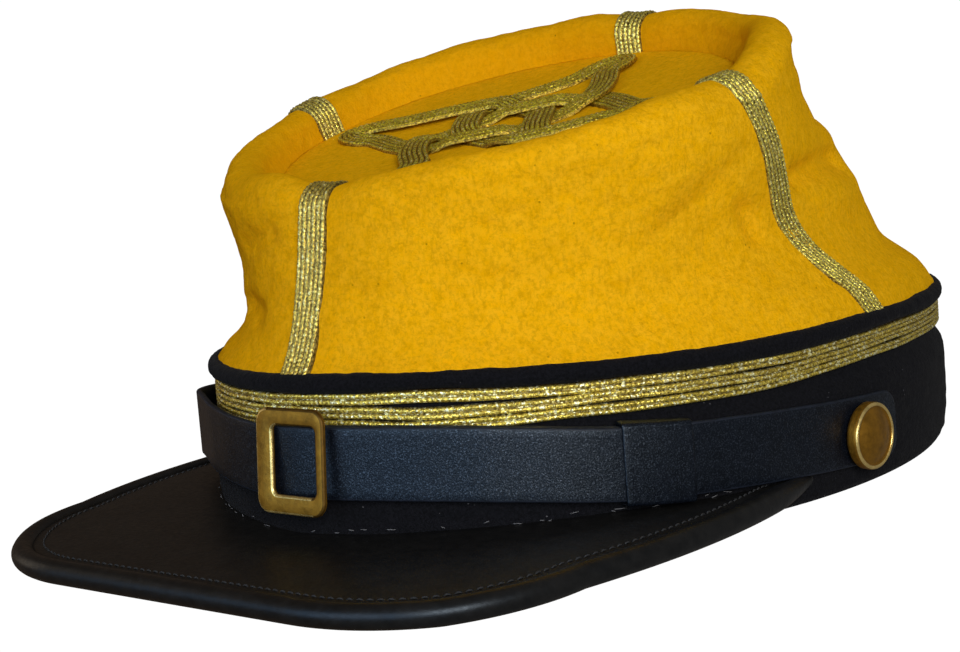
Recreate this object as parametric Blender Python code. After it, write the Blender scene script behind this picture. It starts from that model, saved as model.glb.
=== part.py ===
"""Kepi cap: felt crown, wool band, gold braid, leather visor and chin strap, brass buckle and buttons.

Sizes are in millimetres and degrees. The visor faces -Y and the wearer's left is +X. Azimuth 0 is the front of the
head and azimuth 90 the wearer's left. Every piece hangs from one empty, which tips the cap onto its resting plane.
"""
import math

import bmesh
import bpy
from mathutils import Vector

MM = 0.001
GAP = 0.3

# The head oval, taken at the centre of the welt
HALF_WIDTH = 81.6
HALF_LENGTH = 108.2
ROUND = 48

# Band
BAND_TOP = 33.4
BAND_THICKNESS = 2.4
BAND_OUTSIDE = (  # height, outward
    (33.4, -0.8),
    (25.6, -0.6),
    (22.4, 1.3),
    (14.0, 1.8),
    (6.0, 1.5),
    (2.0, 0.8),
)
BAND_TOP_Z = 33.4
BAND_STEP_Z = 25.6
BAND_FOOT_OUTWARD = -0.1
BAND_FOOT_BLEND = 8.0

# Gold braid round the top of the band: three rows, each with two ribs
BRAID_ROWS = 3
BRAID_TOP = 33.6
BRAID_PITCH = 2.53
BRAID_HEIGHT = 2.2
BRAID_SECTION = (  # outward, share of the half height
    (-0.3, 1.0),
    (1.0, 0.62),
    (0.65, 0.0),
    (1.0, -0.62),
    (-0.3, -1.0),
)

# Seam between band and crown, and how the braid follows it
SEAM_LINE = (  # azimuth, rise of the crown's seam, stretch of the braid's height, gap under its top row
    (0, 0.3, 1.05, 0.0),
    (12, 0.6, 1.1, 0.15),
    (18, 0.7, 1.11, 0.5),
    (25, 0.8, 1.12, 0.6),
    (34, 0.25, 1.03, 0.3),
    (45, 0.0, 1.0, 0.0),
    (62, -0.4, 0.95, 0.0),
    (71, -0.4, 0.95, 0.0),
    (80, 0.0, 0.87, 0.0),
    (92, 0.5, 0.83, 0.0),
    (105, 0.4, 0.8, 0.0),
    (140, 0.2, 0.85, 0.0),
    (180, 0.0, 0.9, 0.0),
    (270, 0.0, 0.95, 0.0),
    (330, 0.1, 1.0, 0.0),
    (360, 0.3, 1.05, 0.0),
)

# Welt between band and crown
WELT_HEIGHT = 35.8
WELT_RADIUS = 2.05
WELT_SIDES = 6

# Crown side: felt wall from the welt to the rolled rim, then down to the sunk top
FELT_THICKNESS = 1.8
WALL_FOOT = 38.15
RIM_HALF_WIDTH = 66.5
RIM_HALF_LENGTH = 62.0
RIM_CENTRE_Y = -30.8
RIM_CENTRE_Z = 91.5
RIM_TILT = 16.5
RIM_RADIUS = 5.5
TOP_DEPTH = 3.6
TOP_HALF_WIDTH = 57.7
TOP_HALF_LENGTH = 54.2
TOP_SAG = 2.2
TOP_RINGS = ((1.0, ROUND), (0.68, ROUND // 2), (0.36, ROUND // 2))  # share of the top's size, points
ROLL_END = 165.0
WALL_SHARES = (0.0, 0.10, 0.20, 0.32, 0.46, 0.62, 0.80, 1.0)
WALL_LEAN = (0.0, 0.10, 0.24, 0.40, 0.55, 0.68, 0.82, 1.0)
FOLDS = (  # azimuth, rim outward, rim up, then how far the wall is pulled in at each share of its height
    (0, 2.5, -0.1, 0.0, 0.9, 0.9, 0.7, 0.4, 0.3, 0.1, -0.5),
    (45, 0.1, 1.8, 0.0, 2.5, 4.2, 4.8, 4.4, 3.2, 1.8, 0.0),
    (90, -2.8, -1.7, 0.0, 0.8, 2.7, 5.3, 5.5, 3.1, 0.3, -1.0),
    (135, 2.5, 0.9, 0.0, 1.4, 4.8, 2.4, 1.0, 3.1, 5.4, 1.2),
    (180, -1.0, 0.0, 0.0, 1.0, 1.3, 1.0, 0.3, -0.6, -1.3, -1.2),
    (225, 1.6, 0.8, 0.0, 1.7, 2.9, 2.9, 2.7, 3.0, 2.7, 0.8),
    (270, -1.9, 0.2, 0.0, 1.6, 3.2, 4.5, 4.5, 3.1, 1.2, -0.3),
    (315, 0.5, -1.4, 0.0, 2.6, 5.8, 6.9, 5.6, 4.2, 1.6, -1.1),
)
RIM_BUMPS = (  # azimuth, rise, reach round
    (-17, 1.7, 10),
    (1, -1.2, 8),
    (48, -1.9, 17),
    (72, 0.8, 7),
    (97, -1.3, 9),
    (143, -2.7, 17),
    (177, -0.9, 6),
    (189, 0.9, 8),
)
CROWN_ROWS = (0.0, 0.1, 0.2, 0.32, 0.46, 0.62, 0.8, 0.92, 1.0, 1.17, 1.33, 1.5, 1.67, 1.84, 2.0, 2.45, 3.0)

# Crown stripes: three cords side by side
STRIPE_AZIMUTHS = (("stripe_front", 0), ("stripe_left", 90), ("stripe_back", 177.6), ("stripe_right", 270))
STRIPE_START = 0.03
STRIPE_END = 2.45
CORDS_SECTION = (  # across, height
    (-4.15, 0.0),
    (4.15, 0.0),
    (4.15, 0.9),
    (2.8, 1.5),
    (1.4, 0.95),
    (0.0, 1.5),
    (-1.4, 0.95),
    (-2.8, 1.5),
    (-4.15, 0.9),
)

# Crown knot: one closed band of three cords that runs from tip to tip round the middle
KNOT_CENTRE_X = -3.5
KNOT_CENTRE_Y = 4.0
KNOT_SQUEEZE = 0.92
KNOT_SWING_SIDE = 5.7
KNOT_SWING_FRONT = 5.5
KNOT_SWING_BACK = 8.0
KNOT_SWING_REACH = 48.0
KNOT_RISE = 1.8
KNOT_NARROWING = 0.9
KNOT_PATH = (  # across, along, share of the rise; half of one strand, from its tip to its middle
    (46.3, 0.0, 0.5),
    (44.7, -2.9, 0.6),
    (41.2, -4.5, 0.8),
    (34.7, -6.1, 1.0),
    (25.0, -12.6, 1.0),
    (16.1, -16.7, 1.0),
    (11.5, -16.5, 1.0),
    (6.7, -14.5, 0.0),
    (0.0, -11.3, 0.0),
    (-4.8, -8.7, 0.0),
    (-6.9, -6.9, 0.5),
)

# Visor: a leather plate with a rolled binding round its free edge
VISOR_FRONT = 148.2
VISOR_CORNER_X = 73.6
VISOR_CORNER_RADIUS = 39.5
VISOR_END_AZIMUTH = 74.9
VISOR_BULGE = 5.3
VISOR_THICKNESS = 2.6
VISOR_EDGE_FRONT_Z = 0.6
VISOR_EDGE_END_Z = 3.6
VISOR_EDGE_LIFT = 0.65
VISOR_EDGE_STEP = 1.45
VISOR_ARCH = 0.5
VISOR_ACROSS = 5
VISOR_JOINT = (  # azimuth, height of the upper face where it meets the band
    (0, 3.6),
    (44, 5.7),
    (75, 4.6),
)
BINDING_RADIUS = 2.65
BINDING_SIDES = 8
BINDING_END_SHARE = 0.5
BINDING_END_STEP = 0.2
BAND_CLEARANCE = 2.15

# Chin strap: the right part runs through the buckle and over the left part to the keeper
STRAP_WIDTH = 15.7
STRAP_THICKNESS = 1.4
STRAP_RIGHT = (  # azimuth, height, stand-off of the inner face from the head oval
    (-90.5, 12.3, 2.3),
    (-84.0, 13.2, 2.3),
    (-74.0, 15.3, 2.4),
    (-65.0, 17.2, 3.4),
    (-57.0, 18.6, 5.2),
    (-49.0, 19.8, 6.4),
    (-42.0, 20.7, 5.4),
    (-35.0, 21.1, 3.2),
    (-28.0, 21.2, 2.6),
    (-20.0, 21.0, 2.8),
    (-12.0, 20.5, 3.4),
    (-4.0, 20.0, 4.0),
    (4.0, 20.0, 4.05),
    (12.0, 20.1, 4.05),
    (20.0, 19.9, 4.05),
    (28.0, 19.2, 4.05),
    (36.0, 18.1, 4.35),
    (44.0, 16.7, 4.95),
    (50.0, 15.8, 4.95),
    (54.4, 15.3, 4.95),
)
STRAP_LEFT = (
    (4.0, 20.0, 2.3),
    (12.0, 20.1, 2.3),
    (20.0, 19.9, 2.3),
    (28.0, 19.2, 2.3),
    (36.0, 18.1, 2.65),
    (44.0, 16.7, 3.25),
    (54.9, 15.2, 3.25),
    (63.6, 14.5, 2.9),
    (72.0, 13.7, 2.4),
    (80.0, 12.9, 2.3),
    (90.5, 12.1, 2.3),
)
KEEPER_START = 46.3
KEEPER_END = 54.9
KEEPER_WALL = 0.8
KEEPER_INSIDE = 2.15

# Buckle: a flat plate with a window
BUCKLE_X = 3.95
BUCKLE_Z = 20.6
BUCKLE_WIDTH = 20.4
BUCKLE_HEIGHT = 22.7
BUCKLE_LEAN = 5.0
BUCKLE_STAND_OFF = 6.45
BUCKLE_THICKNESS = 1.2
BUCKLE_CORNER = 3.4
BUCKLE_BARS = (4.9, 2.5, 3.7, 4.1)  # bar widths: wearer's right, wearer's left, top, bottom
BUCKLE_WINDOW_CORNER = 1.6
BUCKLE_CHAMFER = 0.4

# Side buttons
BUTTON_AZIMUTH = 82.8
BUTTON_HEIGHT = 11.6
BUTTON_STAND_OFF = 4.0
BUTTON_PROFILE = (  # radius, height
    (0.0, 0.0),
    (6.7, 0.0),
    (7.7, 0.7),
    (7.7, 2.7),
    (7.2, 3.3),
    (6.5, 3.0),
    (4.0, 3.9),
    (0.0, 4.3),
)
BUTTON_SIDES = 20

# Resting plane: the rear of the band and the front of the visor binding touch it
REST_DROP = BINDING_RADIUS - VISOR_EDGE_FRONT_Z
REST_REAR = HALF_LENGTH + BAND_FOOT_OUTWARD
REST_TILT = math.atan2(REST_DROP, VISOR_FRONT + REST_REAR)
CENTRE_SHIFT = 20.434

for old in list(bpy.data.objects):
    bpy.data.objects.remove(old, do_unlink=True)

cap = bpy.data.collections.new("kepi_cap")
bpy.context.scene.collection.children.link(cap)

rest = bpy.data.objects.new("cap_rest", None)
rest.empty_display_size = 0.02
rest.rotation_euler = (-REST_TILT, 0.0, 0.0)
rest.location = (0.0, CENTRE_SHIFT * MM, REST_REAR * math.sin(REST_TILT) * MM)
cap.objects.link(rest)


def material(name, colour, roughness, metallic=0.0):
    """One Principled material for one piece."""
    made = bpy.data.materials.new(name)
    made.use_nodes = True
    shader = made.node_tree.nodes["Principled BSDF"]
    shader.inputs["Base Color"].default_value = (*colour, 1.0)
    shader.inputs["Roughness"].default_value = roughness
    shader.inputs["Metallic"].default_value = metallic
    return made


FELT = (0.72, 0.38, 0.005)
WOOL = (0.006, 0.006, 0.010)
GOLD = (0.42, 0.34, 0.08)
LEATHER = (0.010, 0.012, 0.018)
BRASS = (0.50, 0.32, 0.10)
VISOR_BLACK = (0.012, 0.011, 0.010)


def add_mesh(name, points, faces, colour, roughness, metallic=0.0):
    """A named mesh object under the resting empty; points come in millimetres."""
    mesh = bpy.data.meshes.new(name)
    mesh.from_pydata([Vector(p) * MM for p in points], [], faces)
    work = bmesh.new()
    work.from_mesh(mesh)
    bmesh.ops.recalc_face_normals(work, faces=work.faces)
    work.to_mesh(mesh)
    work.free()
    for polygon in mesh.polygons:
        polygon.use_smooth = True
    mesh.materials.append(material(name + "_material", colour, roughness, metallic))
    made = bpy.data.objects.new(name, mesh)
    made.parent = rest
    cap.objects.link(made)
    return made


def loft(name, sections, closed, *look):
    """Skin equal closed sections; closed joins the last to the first, otherwise both ends are capped."""
    count = len(sections[0])
    points = [p for section in sections for p in section]
    faces = []
    spans = len(sections) if closed else len(sections) - 1
    for i in range(spans):
        here = i * count
        there = (i + 1) % len(sections) * count
        for j in range(count):
            k = (j + 1) % count
            faces.append((here + j, there + j, there + k, here + k))
    if not closed:
        faces.append(tuple(range(count)))
        faces.append(tuple(range(len(points) - count, len(points))))
    return add_mesh(name, points, faces, *look)


def oval(azimuth, outward=0.0):
    """Plan point of the head oval, pushed out along its normal."""
    sine, cosine = math.sin(azimuth), math.cos(azimuth)
    normal = Vector((sine / HALF_WIDTH, -cosine / HALF_LENGTH)).normalized()
    return Vector((HALF_WIDTH * sine, -HALF_LENGTH * cosine)) + normal * outward


def wall_point(azimuth, outward, height):
    plan = oval(azimuth, outward)
    return Vector((plan.x, plan.y, height))


def floor_height(y):
    """Height of the resting plane in the cap's own frame."""
    return (y - REST_REAR) * math.tan(REST_TILT)


def curve_through(rows, where):
    """Smooth value at a position in a table whose first column rises; the other columns are returned."""
    last = len(rows) - 1
    i = 0
    while i < last - 1 and where > rows[i + 1][0]:
        i += 1
    before, here, there, after = rows[max(i - 1, 0)], rows[i], rows[i + 1], rows[min(i + 2, last)]
    span = there[0] - here[0]
    share = min(max((where - here[0]) / span, 0.0), 1.0)
    values = []
    for k in range(1, len(here)):
        slope_here = (there[k] - before[k]) / (there[0] - before[0])
        slope_there = (after[k] - here[k]) / (after[0] - here[0])
        bend = share * share * (3.0 - 2.0 * share)
        value = here[k] + (there[k] - here[k]) * bend
        value += slope_here * span * share * (1.0 - share) ** 2
        value -= slope_there * span * share * share * (1.0 - share)
        values.append(value)
    return values


def fold_values(azimuth):
    """Rim shift and wall pull at an azimuth in degrees, smooth all the way round."""
    step = 360.0 / len(FOLDS)
    turn = azimuth % 360.0 / step
    i = int(turn)
    share = turn - i
    rows = [FOLDS[(i + j) % len(FOLDS)] for j in (-1, 0, 1, 2)]
    values = []
    for k in range(1, len(rows[0])):
        a, b, c, d = (row[k] for row in rows)
        bend = share * (2 * a - 5 * b + 4 * c - d + share * (3 * (b - c) + d - a))
        values.append(b + 0.5 * share * (c - a + bend))
    for where, rise, reach in RIM_BUMPS:
        apart = (azimuth - where + 180.0) % 360.0 - 180.0
        values[1] += rise * math.exp(-((apart / reach) ** 2))
    return values


TILT = math.radians(RIM_TILT)
RIM_NORMAL = Vector((0.0, -math.sin(TILT), math.cos(TILT)))


def rim_frame(x, y, lift):
    """Point of the rim plane: x to the wearer's left, y to the back, lift off the plane."""
    place = Vector((x, RIM_CENTRE_Y + y * math.cos(TILT), RIM_CENTRE_Z + y * math.sin(TILT)))
    return place + RIM_NORMAL * lift


def crown_point(azimuth, row):
    """Outer face of the crown side: row 0 to 1 is the wall, 1 to 2 the rim, 2 to 3 the drop to the top."""
    angle = math.radians(azimuth)
    values = fold_values(azimuth)
    outward, up = values[0], values[1]
    sine, cosine = math.sin(angle), math.cos(angle)
    centre = rim_frame((RIM_HALF_WIDTH + outward) * sine, -(RIM_HALF_LENGTH + outward) * cosine, up)
    plane = Vector((sine / RIM_HALF_WIDTH, -cosine / RIM_HALF_LENGTH)).normalized()
    away = Vector((plane.x, plane.y * math.cos(TILT), plane.y * math.sin(TILT)))
    if row <= 1.0:
        foot = wall_point(angle, 0.0, WALL_FOOT + curve_through(SEAM_LINE, azimuth % 360.0)[0])
        crest = centre + away * RIM_RADIUS
        table = [(s, lean, pull) for s, lean, pull in zip(WALL_SHARES, WALL_LEAN, values[2:])]
        lean, pull = curve_through(table, row)
        normal = Vector((sine / HALF_WIDTH, -cosine / HALF_LENGTH)).normalized()
        point = foot.lerp(crest, lean) - Vector((normal.x, normal.y, 0.0)) * pull
        point.z = foot.z + (crest.z - foot.z) * row
        return point
    turn = math.radians(ROLL_END) * min(row - 1.0, 1.0)
    rolled = centre + (away * math.cos(turn) + RIM_NORMAL * math.sin(turn)) * RIM_RADIUS
    if row <= 2.0:
        return rolled
    width = TOP_HALF_WIDTH + GAP + 0.1
    length = TOP_HALF_LENGTH + GAP + 0.1
    foot = rim_frame(width * sine, -length * cosine, -TOP_DEPTH - FELT_THICKNESS - 0.4)
    return rolled.lerp(foot, row - 2.0)


def crown_normal(azimuth, row):
    low, high = max(row - 0.02, 0.0), min(row + 0.02, 3.0)
    if row in (1.0, 2.0):
        low, high = row - 0.05, row + 0.05
    up = crown_point(azimuth, high) - crown_point(azimuth, low)
    along = crown_point(azimuth + 1.0, row) - crown_point(azimuth - 1.0, row)
    return along.cross(up).normalized()


def make_band():
    sections = []
    for i in range(ROUND):
        angle = 2.0 * math.pi * i / ROUND
        seam = curve_through(SEAM_LINE, math.degrees(angle))[0]
        section = []
        outside = list(BAND_OUTSIDE) + [(0.0, BAND_FOOT_OUTWARD)]
        inside = [(height, max(outward, -0.8) - BAND_THICKNESS) for height, outward in reversed(BAND_OUTSIDE)]
        inside = [(0.0, BAND_FOOT_OUTWARD - 1.5)] + inside
        for height, outward in outside + inside:
            over_step = max(0.0, (height - BAND_STEP_Z) / (BAND_TOP_Z - BAND_STEP_Z))
            point = wall_point(angle, outward, height + seam * over_step)
            share = max(0.0, 1.0 - height / BAND_FOOT_BLEND)
            point.z += floor_height(point.y) * share
            section.append(point)
        sections.append(section)
    return loft("band", sections, True, WOOL, 0.95)


def make_braid_row(number):
    sections = []
    for i in range(ROUND):
        angle = 2.0 * math.pi * i / ROUND
        seam, stretch, gap = curve_through(SEAM_LINE, math.degrees(angle))
        middle = BRAID_TOP + seam - (BRAID_HEIGHT / 2 + BRAID_PITCH * number) * stretch - gap * min(number, 1)
        half = BRAID_HEIGHT / 2 * stretch
        section = [wall_point(angle, out, middle + share * half) for out, share in BRAID_SECTION]
        sections.append(section)
    return loft("band_braid_%d" % (number + 1), sections, True, GOLD, 0.45, 0.6)


def make_welt():
    sections = []
    for i in range(ROUND):
        angle = 2.0 * math.pi * i / ROUND
        middle = WELT_HEIGHT + curve_through(SEAM_LINE, math.degrees(angle))[0]
        section = []
        for j in range(WELT_SIDES):
            turn = 2.0 * math.pi * j / WELT_SIDES
            out, rise = WELT_RADIUS * math.cos(turn), WELT_RADIUS * math.sin(turn)
            section.append(wall_point(angle, out, middle + rise))
        sections.append(section)
    return loft("welt", sections, True, WOOL, 0.95)


def make_crown_side():
    sections = []
    for i in range(ROUND):
        azimuth = 360.0 * i / ROUND
        outer = [crown_point(azimuth, row) for row in CROWN_ROWS]
        inner = [p - crown_normal(azimuth, row) * FELT_THICKNESS for p, row in zip(outer, CROWN_ROWS)]
        inner[0].z = outer[0].z
        kept = [p for p, row in zip(inner, CROWN_ROWS) if row not in (0.92, 1.17, 1.33, 1.67, 1.84)]
        sections.append(outer + kept[::-1])
    return loft("crown_side", sections, True, FELT, 0.95)


def top_sag(x, y):
    """Height of the sunk top over its edge: it sags to its middle."""
    return -TOP_SAG * max(0.0, 1.0 - (x / TOP_HALF_WIDTH) ** 2 - (y / TOP_HALF_LENGTH) ** 2)


def make_crown_top():
    points, faces = [], []
    half = ROUND // 2
    for lift in (-TOP_DEPTH, -TOP_DEPTH - FELT_THICKNESS):
        edge = len(points)
        for share, count in TOP_RINGS:
            for i in range(count):
                angle = 2.0 * math.pi * i / count
                x, y = share * TOP_HALF_WIDTH * math.sin(angle), -share * TOP_HALF_LENGTH * math.cos(angle)
                points.append(rim_frame(x, y, lift + top_sag(x, y)))
        points.append(rim_frame(0.0, 0.0, lift - TOP_SAG))
        outer, inner, middle = edge + ROUND, edge + ROUND + half, edge + ROUND + 2 * half
        for i in range(half):
            j = (i + 1) % half
            faces += [(edge + 2 * i, edge + 2 * i + 1, outer + i), (edge + 2 * i + 1, outer + j, outer + i)]
            faces += [(edge + 2 * i + 1, edge + 2 * j, outer + j), (outer + i, outer + j, inner + j)]
            faces += [(outer + i, inner + j, inner + i), (inner + i, inner + j, middle)]
    below = len(points) // 2
    for i in range(ROUND):
        j = (i + 1) % ROUND
        faces.append((i, j, below + j, below + i))
    return add_mesh("crown_top", points, faces, FELT, 0.95)


def make_stripe(name, azimuth):
    rows = [STRIPE_START] + [row for row in CROWN_ROWS if STRIPE_START < row < STRIPE_END] + [STRIPE_END]
    sections = []
    for row in rows:
        along = crown_point(azimuth + 1.0, row) - crown_point(azimuth - 1.0, row)
        degrees_per_mm = 2.0 / along.length
        outward = crown_normal(azimuth, row)
        section = []
        for across, height in CORDS_SECTION:
            base = crown_point(azimuth + across * degrees_per_mm, row)
            section.append(base + outward * (GAP + height))
        sections.append(section)
    return loft(name, sections, False, GOLD, 0.45, 0.6)


def knot_line():
    """Middle line of the knot: a strand is mirrored in the diagonal and turned a quarter for the next."""
    strand = list(KNOT_PATH) + [(y, x, 1.0 - rise) for x, y, rise in reversed(KNOT_PATH[1:-1])]
    line = []
    for quarter in range(4):
        for x, y, rise in strand:
            for _ in range(quarter):
                x, y = -y, x
            toward_side = max(-x, 0.0) / KNOT_SWING_REACH
            toward_back = max(y, 0.0) / KNOT_SWING_REACH
            toward_front = max(-y, 0.0) / KNOT_SWING_REACH
            x += KNOT_SWING_BACK * toward_back**1.5 + KNOT_SWING_FRONT * toward_front**1.5
            y = y * KNOT_SQUEEZE - KNOT_SWING_SIDE * toward_side**1.5
            line.append((Vector((x, y)), rise))
    return line


def make_knot():
    line = knot_line()
    sections = []
    for i, (here, rise) in enumerate(line):
        before, after = line[i - 1][0], line[(i + 1) % len(line)][0]
        one, two = here - before, after - here
        side = (one.normalized() + two.normalized()).orthogonal().normalized()
        turn = math.atan2(one.x * two.y - one.y * two.x, one.dot(two))
        radius = 0.5 * (one.length + two.length) / max(abs(turn), 0.001)
        base = GAP + KNOT_RISE * rise - TOP_DEPTH
        section = []
        for across, height in CORDS_SECTION:
            across *= KNOT_NARROWING
            if across * turn > 0.0:
                across *= min(1.0, 0.8 * radius / 4.15)
            plan = here + side * across + Vector((KNOT_CENTRE_X, KNOT_CENTRE_Y))
            section.append(rim_frame(plan.x, plan.y, base + height + top_sag(plan.x, plan.y)))
        sections.append(section)
    return loft("crown_knot", sections, True, GOLD, 0.45, 0.6)


def visor_edge():
    """Middle line of the binding from the front centre to the left end, with the inward plan normal."""
    end = oval(math.radians(VISOR_END_AZIMUTH))
    corner = Vector((VISOR_CORNER_X, -VISOR_FRONT))
    side = (end - corner).normalized()
    opening = math.acos(-side.x)
    cut = VISOR_CORNER_RADIUS / math.tan(opening / 2.0)
    start = corner.x - cut
    centre = Vector((start, -VISOR_FRONT + VISOR_CORNER_RADIUS))
    turn = math.pi - opening
    plan = [Vector((start * i / 3, -VISOR_FRONT)) for i in range(3)]
    for i in range(10):
        angle = -math.pi / 2 + turn * i / 9
        plan.append(centre + Vector((math.cos(angle), math.sin(angle))) * VISOR_CORNER_RADIUS)
    leave = corner + side * cut
    out = Vector((side.y, -side.x))
    for i in range(1, 11):
        share = i / 10
        plan.append(leave.lerp(end, share) + out * (4.0 * VISOR_BULGE * share * (1.0 - share)))
    lengths = [0.0]
    for a, b in zip(plan, plan[1:]):
        lengths.append(lengths[-1] + (b - a).length)
    half_arc = lengths[2] + (lengths[12] - lengths[2]) * 0.5
    points = []
    for i, (p, s) in enumerate(zip(plan, lengths)):
        u = min(max((s - half_arc) / (lengths[-1] - half_arc), 0.0), 1.0)
        z = VISOR_EDGE_FRONT_Z + (VISOR_EDGE_END_Z - VISOR_EDGE_FRONT_Z) * u
        z += 4.0 * VISOR_EDGE_LIFT * u * (1.0 - u) ** 2 + (p.y + VISOR_FRONT) * math.tan(REST_TILT)
        along = plan[min(i + 1, len(plan) - 1)] - plan[max(i - 1, 0)]
        if i == 0:
            along = Vector((1.0, 0.0))
        inward = Vector((-along.y, along.x)).normalized()
        points.append((p, z, inward, s / lengths[-1]))
    return points


def clear_of_band(point):
    """Push a point outward to the face the visor meets the band on."""
    share = math.hypot(point.x / (HALF_WIDTH + BAND_CLEARANCE), point.y / (HALF_LENGTH + BAND_CLEARANCE))
    if share < 1.0:
        point.x /= share
        point.y /= share
    return point


def mirrored(sections):
    """Stations of the wearer's left half, mirrored to run from end to end."""
    other = [[Vector((-p.x, p.y, p.z)) for p in section] for section in reversed(sections[1:])]
    return other + sections


def make_visor():
    sections = []
    for p, z, inward, share in visor_edge()[:-3]:
        rim = p + inward * (BINDING_RADIUS + GAP)
        azimuth = VISOR_END_AZIMUTH * share
        root = oval(math.radians(azimuth), BAND_CLEARANCE)
        joint = curve_through(VISOR_JOINT, azimuth)[0]
        upper, lower = [], []
        for i in range(VISOR_ACROSS):
            t = i / (VISOR_ACROSS - 1)
            plan = root.lerp(rim, t)
            height = joint + (z + VISOR_EDGE_STEP - joint) * t + VISOR_ARCH * math.sin(math.pi * t)
            upper.append(clear_of_band(Vector((plan.x, plan.y, height))))
            lower.append(clear_of_band(Vector((plan.x, plan.y, height - VISOR_THICKNESS))))
        sections.append(upper + lower[::-1])
    return loft("visor", mirrored(sections), False, VISOR_BLACK, 0.4)


def make_binding():
    sections = []
    edge = visor_edge()[:-1]
    for i, (p, z, inward, share) in enumerate(edge):
        radius = BINDING_RADIUS * min(1.0, BINDING_END_SHARE + BINDING_END_STEP * (len(edge) - 1 - i))
        section = []
        for j in range(BINDING_SIDES):
            turn = 2.0 * math.pi * j / BINDING_SIDES
            plan = p - inward * (radius * math.cos(turn))
            section.append(clear_of_band(Vector((plan.x, plan.y, z + radius * math.sin(turn)))))
        sections.append(section)
    return loft("visor_binding", mirrored(sections), False, VISOR_BLACK, 0.35)


def strap_azimuths(rows):
    """The band's own azimuths between the ends, so that strap and band bend alike."""
    first, last = rows[0][0], rows[-1][0]
    step = 360.0 / ROUND
    inside = [step * i for i in range(-ROUND, ROUND) if first + 1.0 < step * i < last - 1.0]
    inside += [a for a in (KEEPER_START, KEEPER_END) if first + 1.0 < a < last - 1.0]
    return sorted([first] + inside + [last])


def make_strap(name, rows, rounded_start, rounded_end):
    sections = []
    azimuths = strap_azimuths(rows)
    ends = [(azimuths[0], 1.0)] * rounded_start + [(azimuths[-1], -1.0)] * rounded_end
    for end, sense in ends:
        azimuths += [end + sense * 1.2, end + sense * 3.2]
    for azimuth in sorted(azimuths):
        height, stand_off = curve_through(rows, azimuth)
        half = STRAP_WIDTH / 2
        for end, sense in ends:
            along = abs(azimuth - end) * 1.75
            if along < 5.0:
                half = min(half, STRAP_WIDTH / 2 - 3.4 * (1.0 - along / 5.0) ** 2)
        angle = math.radians(azimuth)
        inner, outer = stand_off, stand_off + STRAP_THICKNESS
        edge = 0.35
        corners = (
            (inner, half - edge),
            (inner + edge, half),
            (outer - edge, half),
            (outer, half - edge),
            (outer, edge - half),
            (outer - edge, -half),
            (inner + edge, -half),
            (inner, edge - half),
        )
        sections.append([wall_point(angle, out, height + rise) for out, rise in corners])
    return loft(name, sections, False, LEATHER, 0.35)


def make_keeper():
    sections = []
    near = KEEPER_INSIDE
    far = STRAP_RIGHT[-1][2] + STRAP_THICKNESS + GAP + KEEPER_WALL
    for azimuth in (KEEPER_START, 52.5, KEEPER_END):
        height = curve_through(STRAP_LEFT, azimuth)[0]
        half = STRAP_WIDTH / 2 + GAP + KEEPER_WALL
        angle = math.radians(azimuth)
        ring = []
        for out, rise in ((near, half), (far, half), (far, -half), (near, -half)):
            ring.append((out, rise))
        hole = [(near + KEEPER_WALL, half - KEEPER_WALL), (far - KEEPER_WALL, half - KEEPER_WALL)]
        hole += [(far - KEEPER_WALL, KEEPER_WALL - half), (near + KEEPER_WALL, KEEPER_WALL - half)]
        sections.append([wall_point(angle, out, height + rise) for out, rise in ring + hole])
    points = [p for section in sections for p in section]
    faces = []
    for i in range(len(sections) - 1):
        here, there = 8 * i, 8 * (i + 1)
        for base in (0, 4):
            for j in range(4):
                k = (j + 1) % 4
                faces.append((here + base + j, here + base + k, there + base + k, there + base + j))
    for here in (0, 8 * (len(sections) - 1)):
        for j in range(4):
            k = (j + 1) % 4
            faces.append((here + j, here + k, here + 4 + k, here + 4 + j))
    return add_mesh("strap_keeper", points, faces, LEATHER, 0.35)


def rounded_outline(left, right, bottom, top, corner):
    """Outline of a rounded rectangle, five points to a corner."""
    outline = []
    centres = ((right, top, 0), (left, top, 90), (left, bottom, 180), (right, bottom, 270))
    for x, z, start in centres:
        cx = x - corner if x == right else x + corner
        cz = z - corner if z == top else z + corner
        for i in range(5):
            angle = math.radians(start + 22.5 * i)
            outline.append(Vector((cx + corner * math.cos(angle), cz + corner * math.sin(angle))))
    return outline


def make_buckle():
    left, right = BUCKLE_X - BUCKLE_WIDTH / 2, BUCKLE_X + BUCKLE_WIDTH / 2
    bottom, top = BUCKLE_Z - BUCKLE_HEIGHT / 2, BUCKLE_Z + BUCKLE_HEIGHT / 2
    bars = BUCKLE_BARS
    back = HALF_LENGTH + BUCKLE_STAND_OFF
    front = back + BUCKLE_THICKNESS
    cut = BUCKLE_CHAMFER
    outer = rounded_outline(left, right, bottom, top, BUCKLE_CORNER)
    outer_in = rounded_outline(left + cut, right - cut, bottom + cut, top - cut, BUCKLE_CORNER - cut)
    window = (left + bars[0], right - bars[1], bottom + bars[3], top - bars[2])
    hole = rounded_outline(*window, BUCKLE_WINDOW_CORNER)
    hole_out = rounded_outline(window[0] - cut, window[1] + cut, window[2] - cut, window[3] + cut,
                               BUCKLE_WINDOW_CORNER + cut)
    sections = []
    for a, b, c, d in zip(outer, outer_in, hole_out, hole):
        section = ((a, back), (a, front - cut), (b, front), (c, front), (d, front - cut), (d, back))
        slope = math.tan(math.radians(BUCKLE_LEAN))
        sections.append([Vector((p.x, (p.y - BUCKLE_Z) * slope - depth, p.y)) for p, depth in section])
    return loft("buckle", sections, True, BRASS, 0.4, 0.9)


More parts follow.
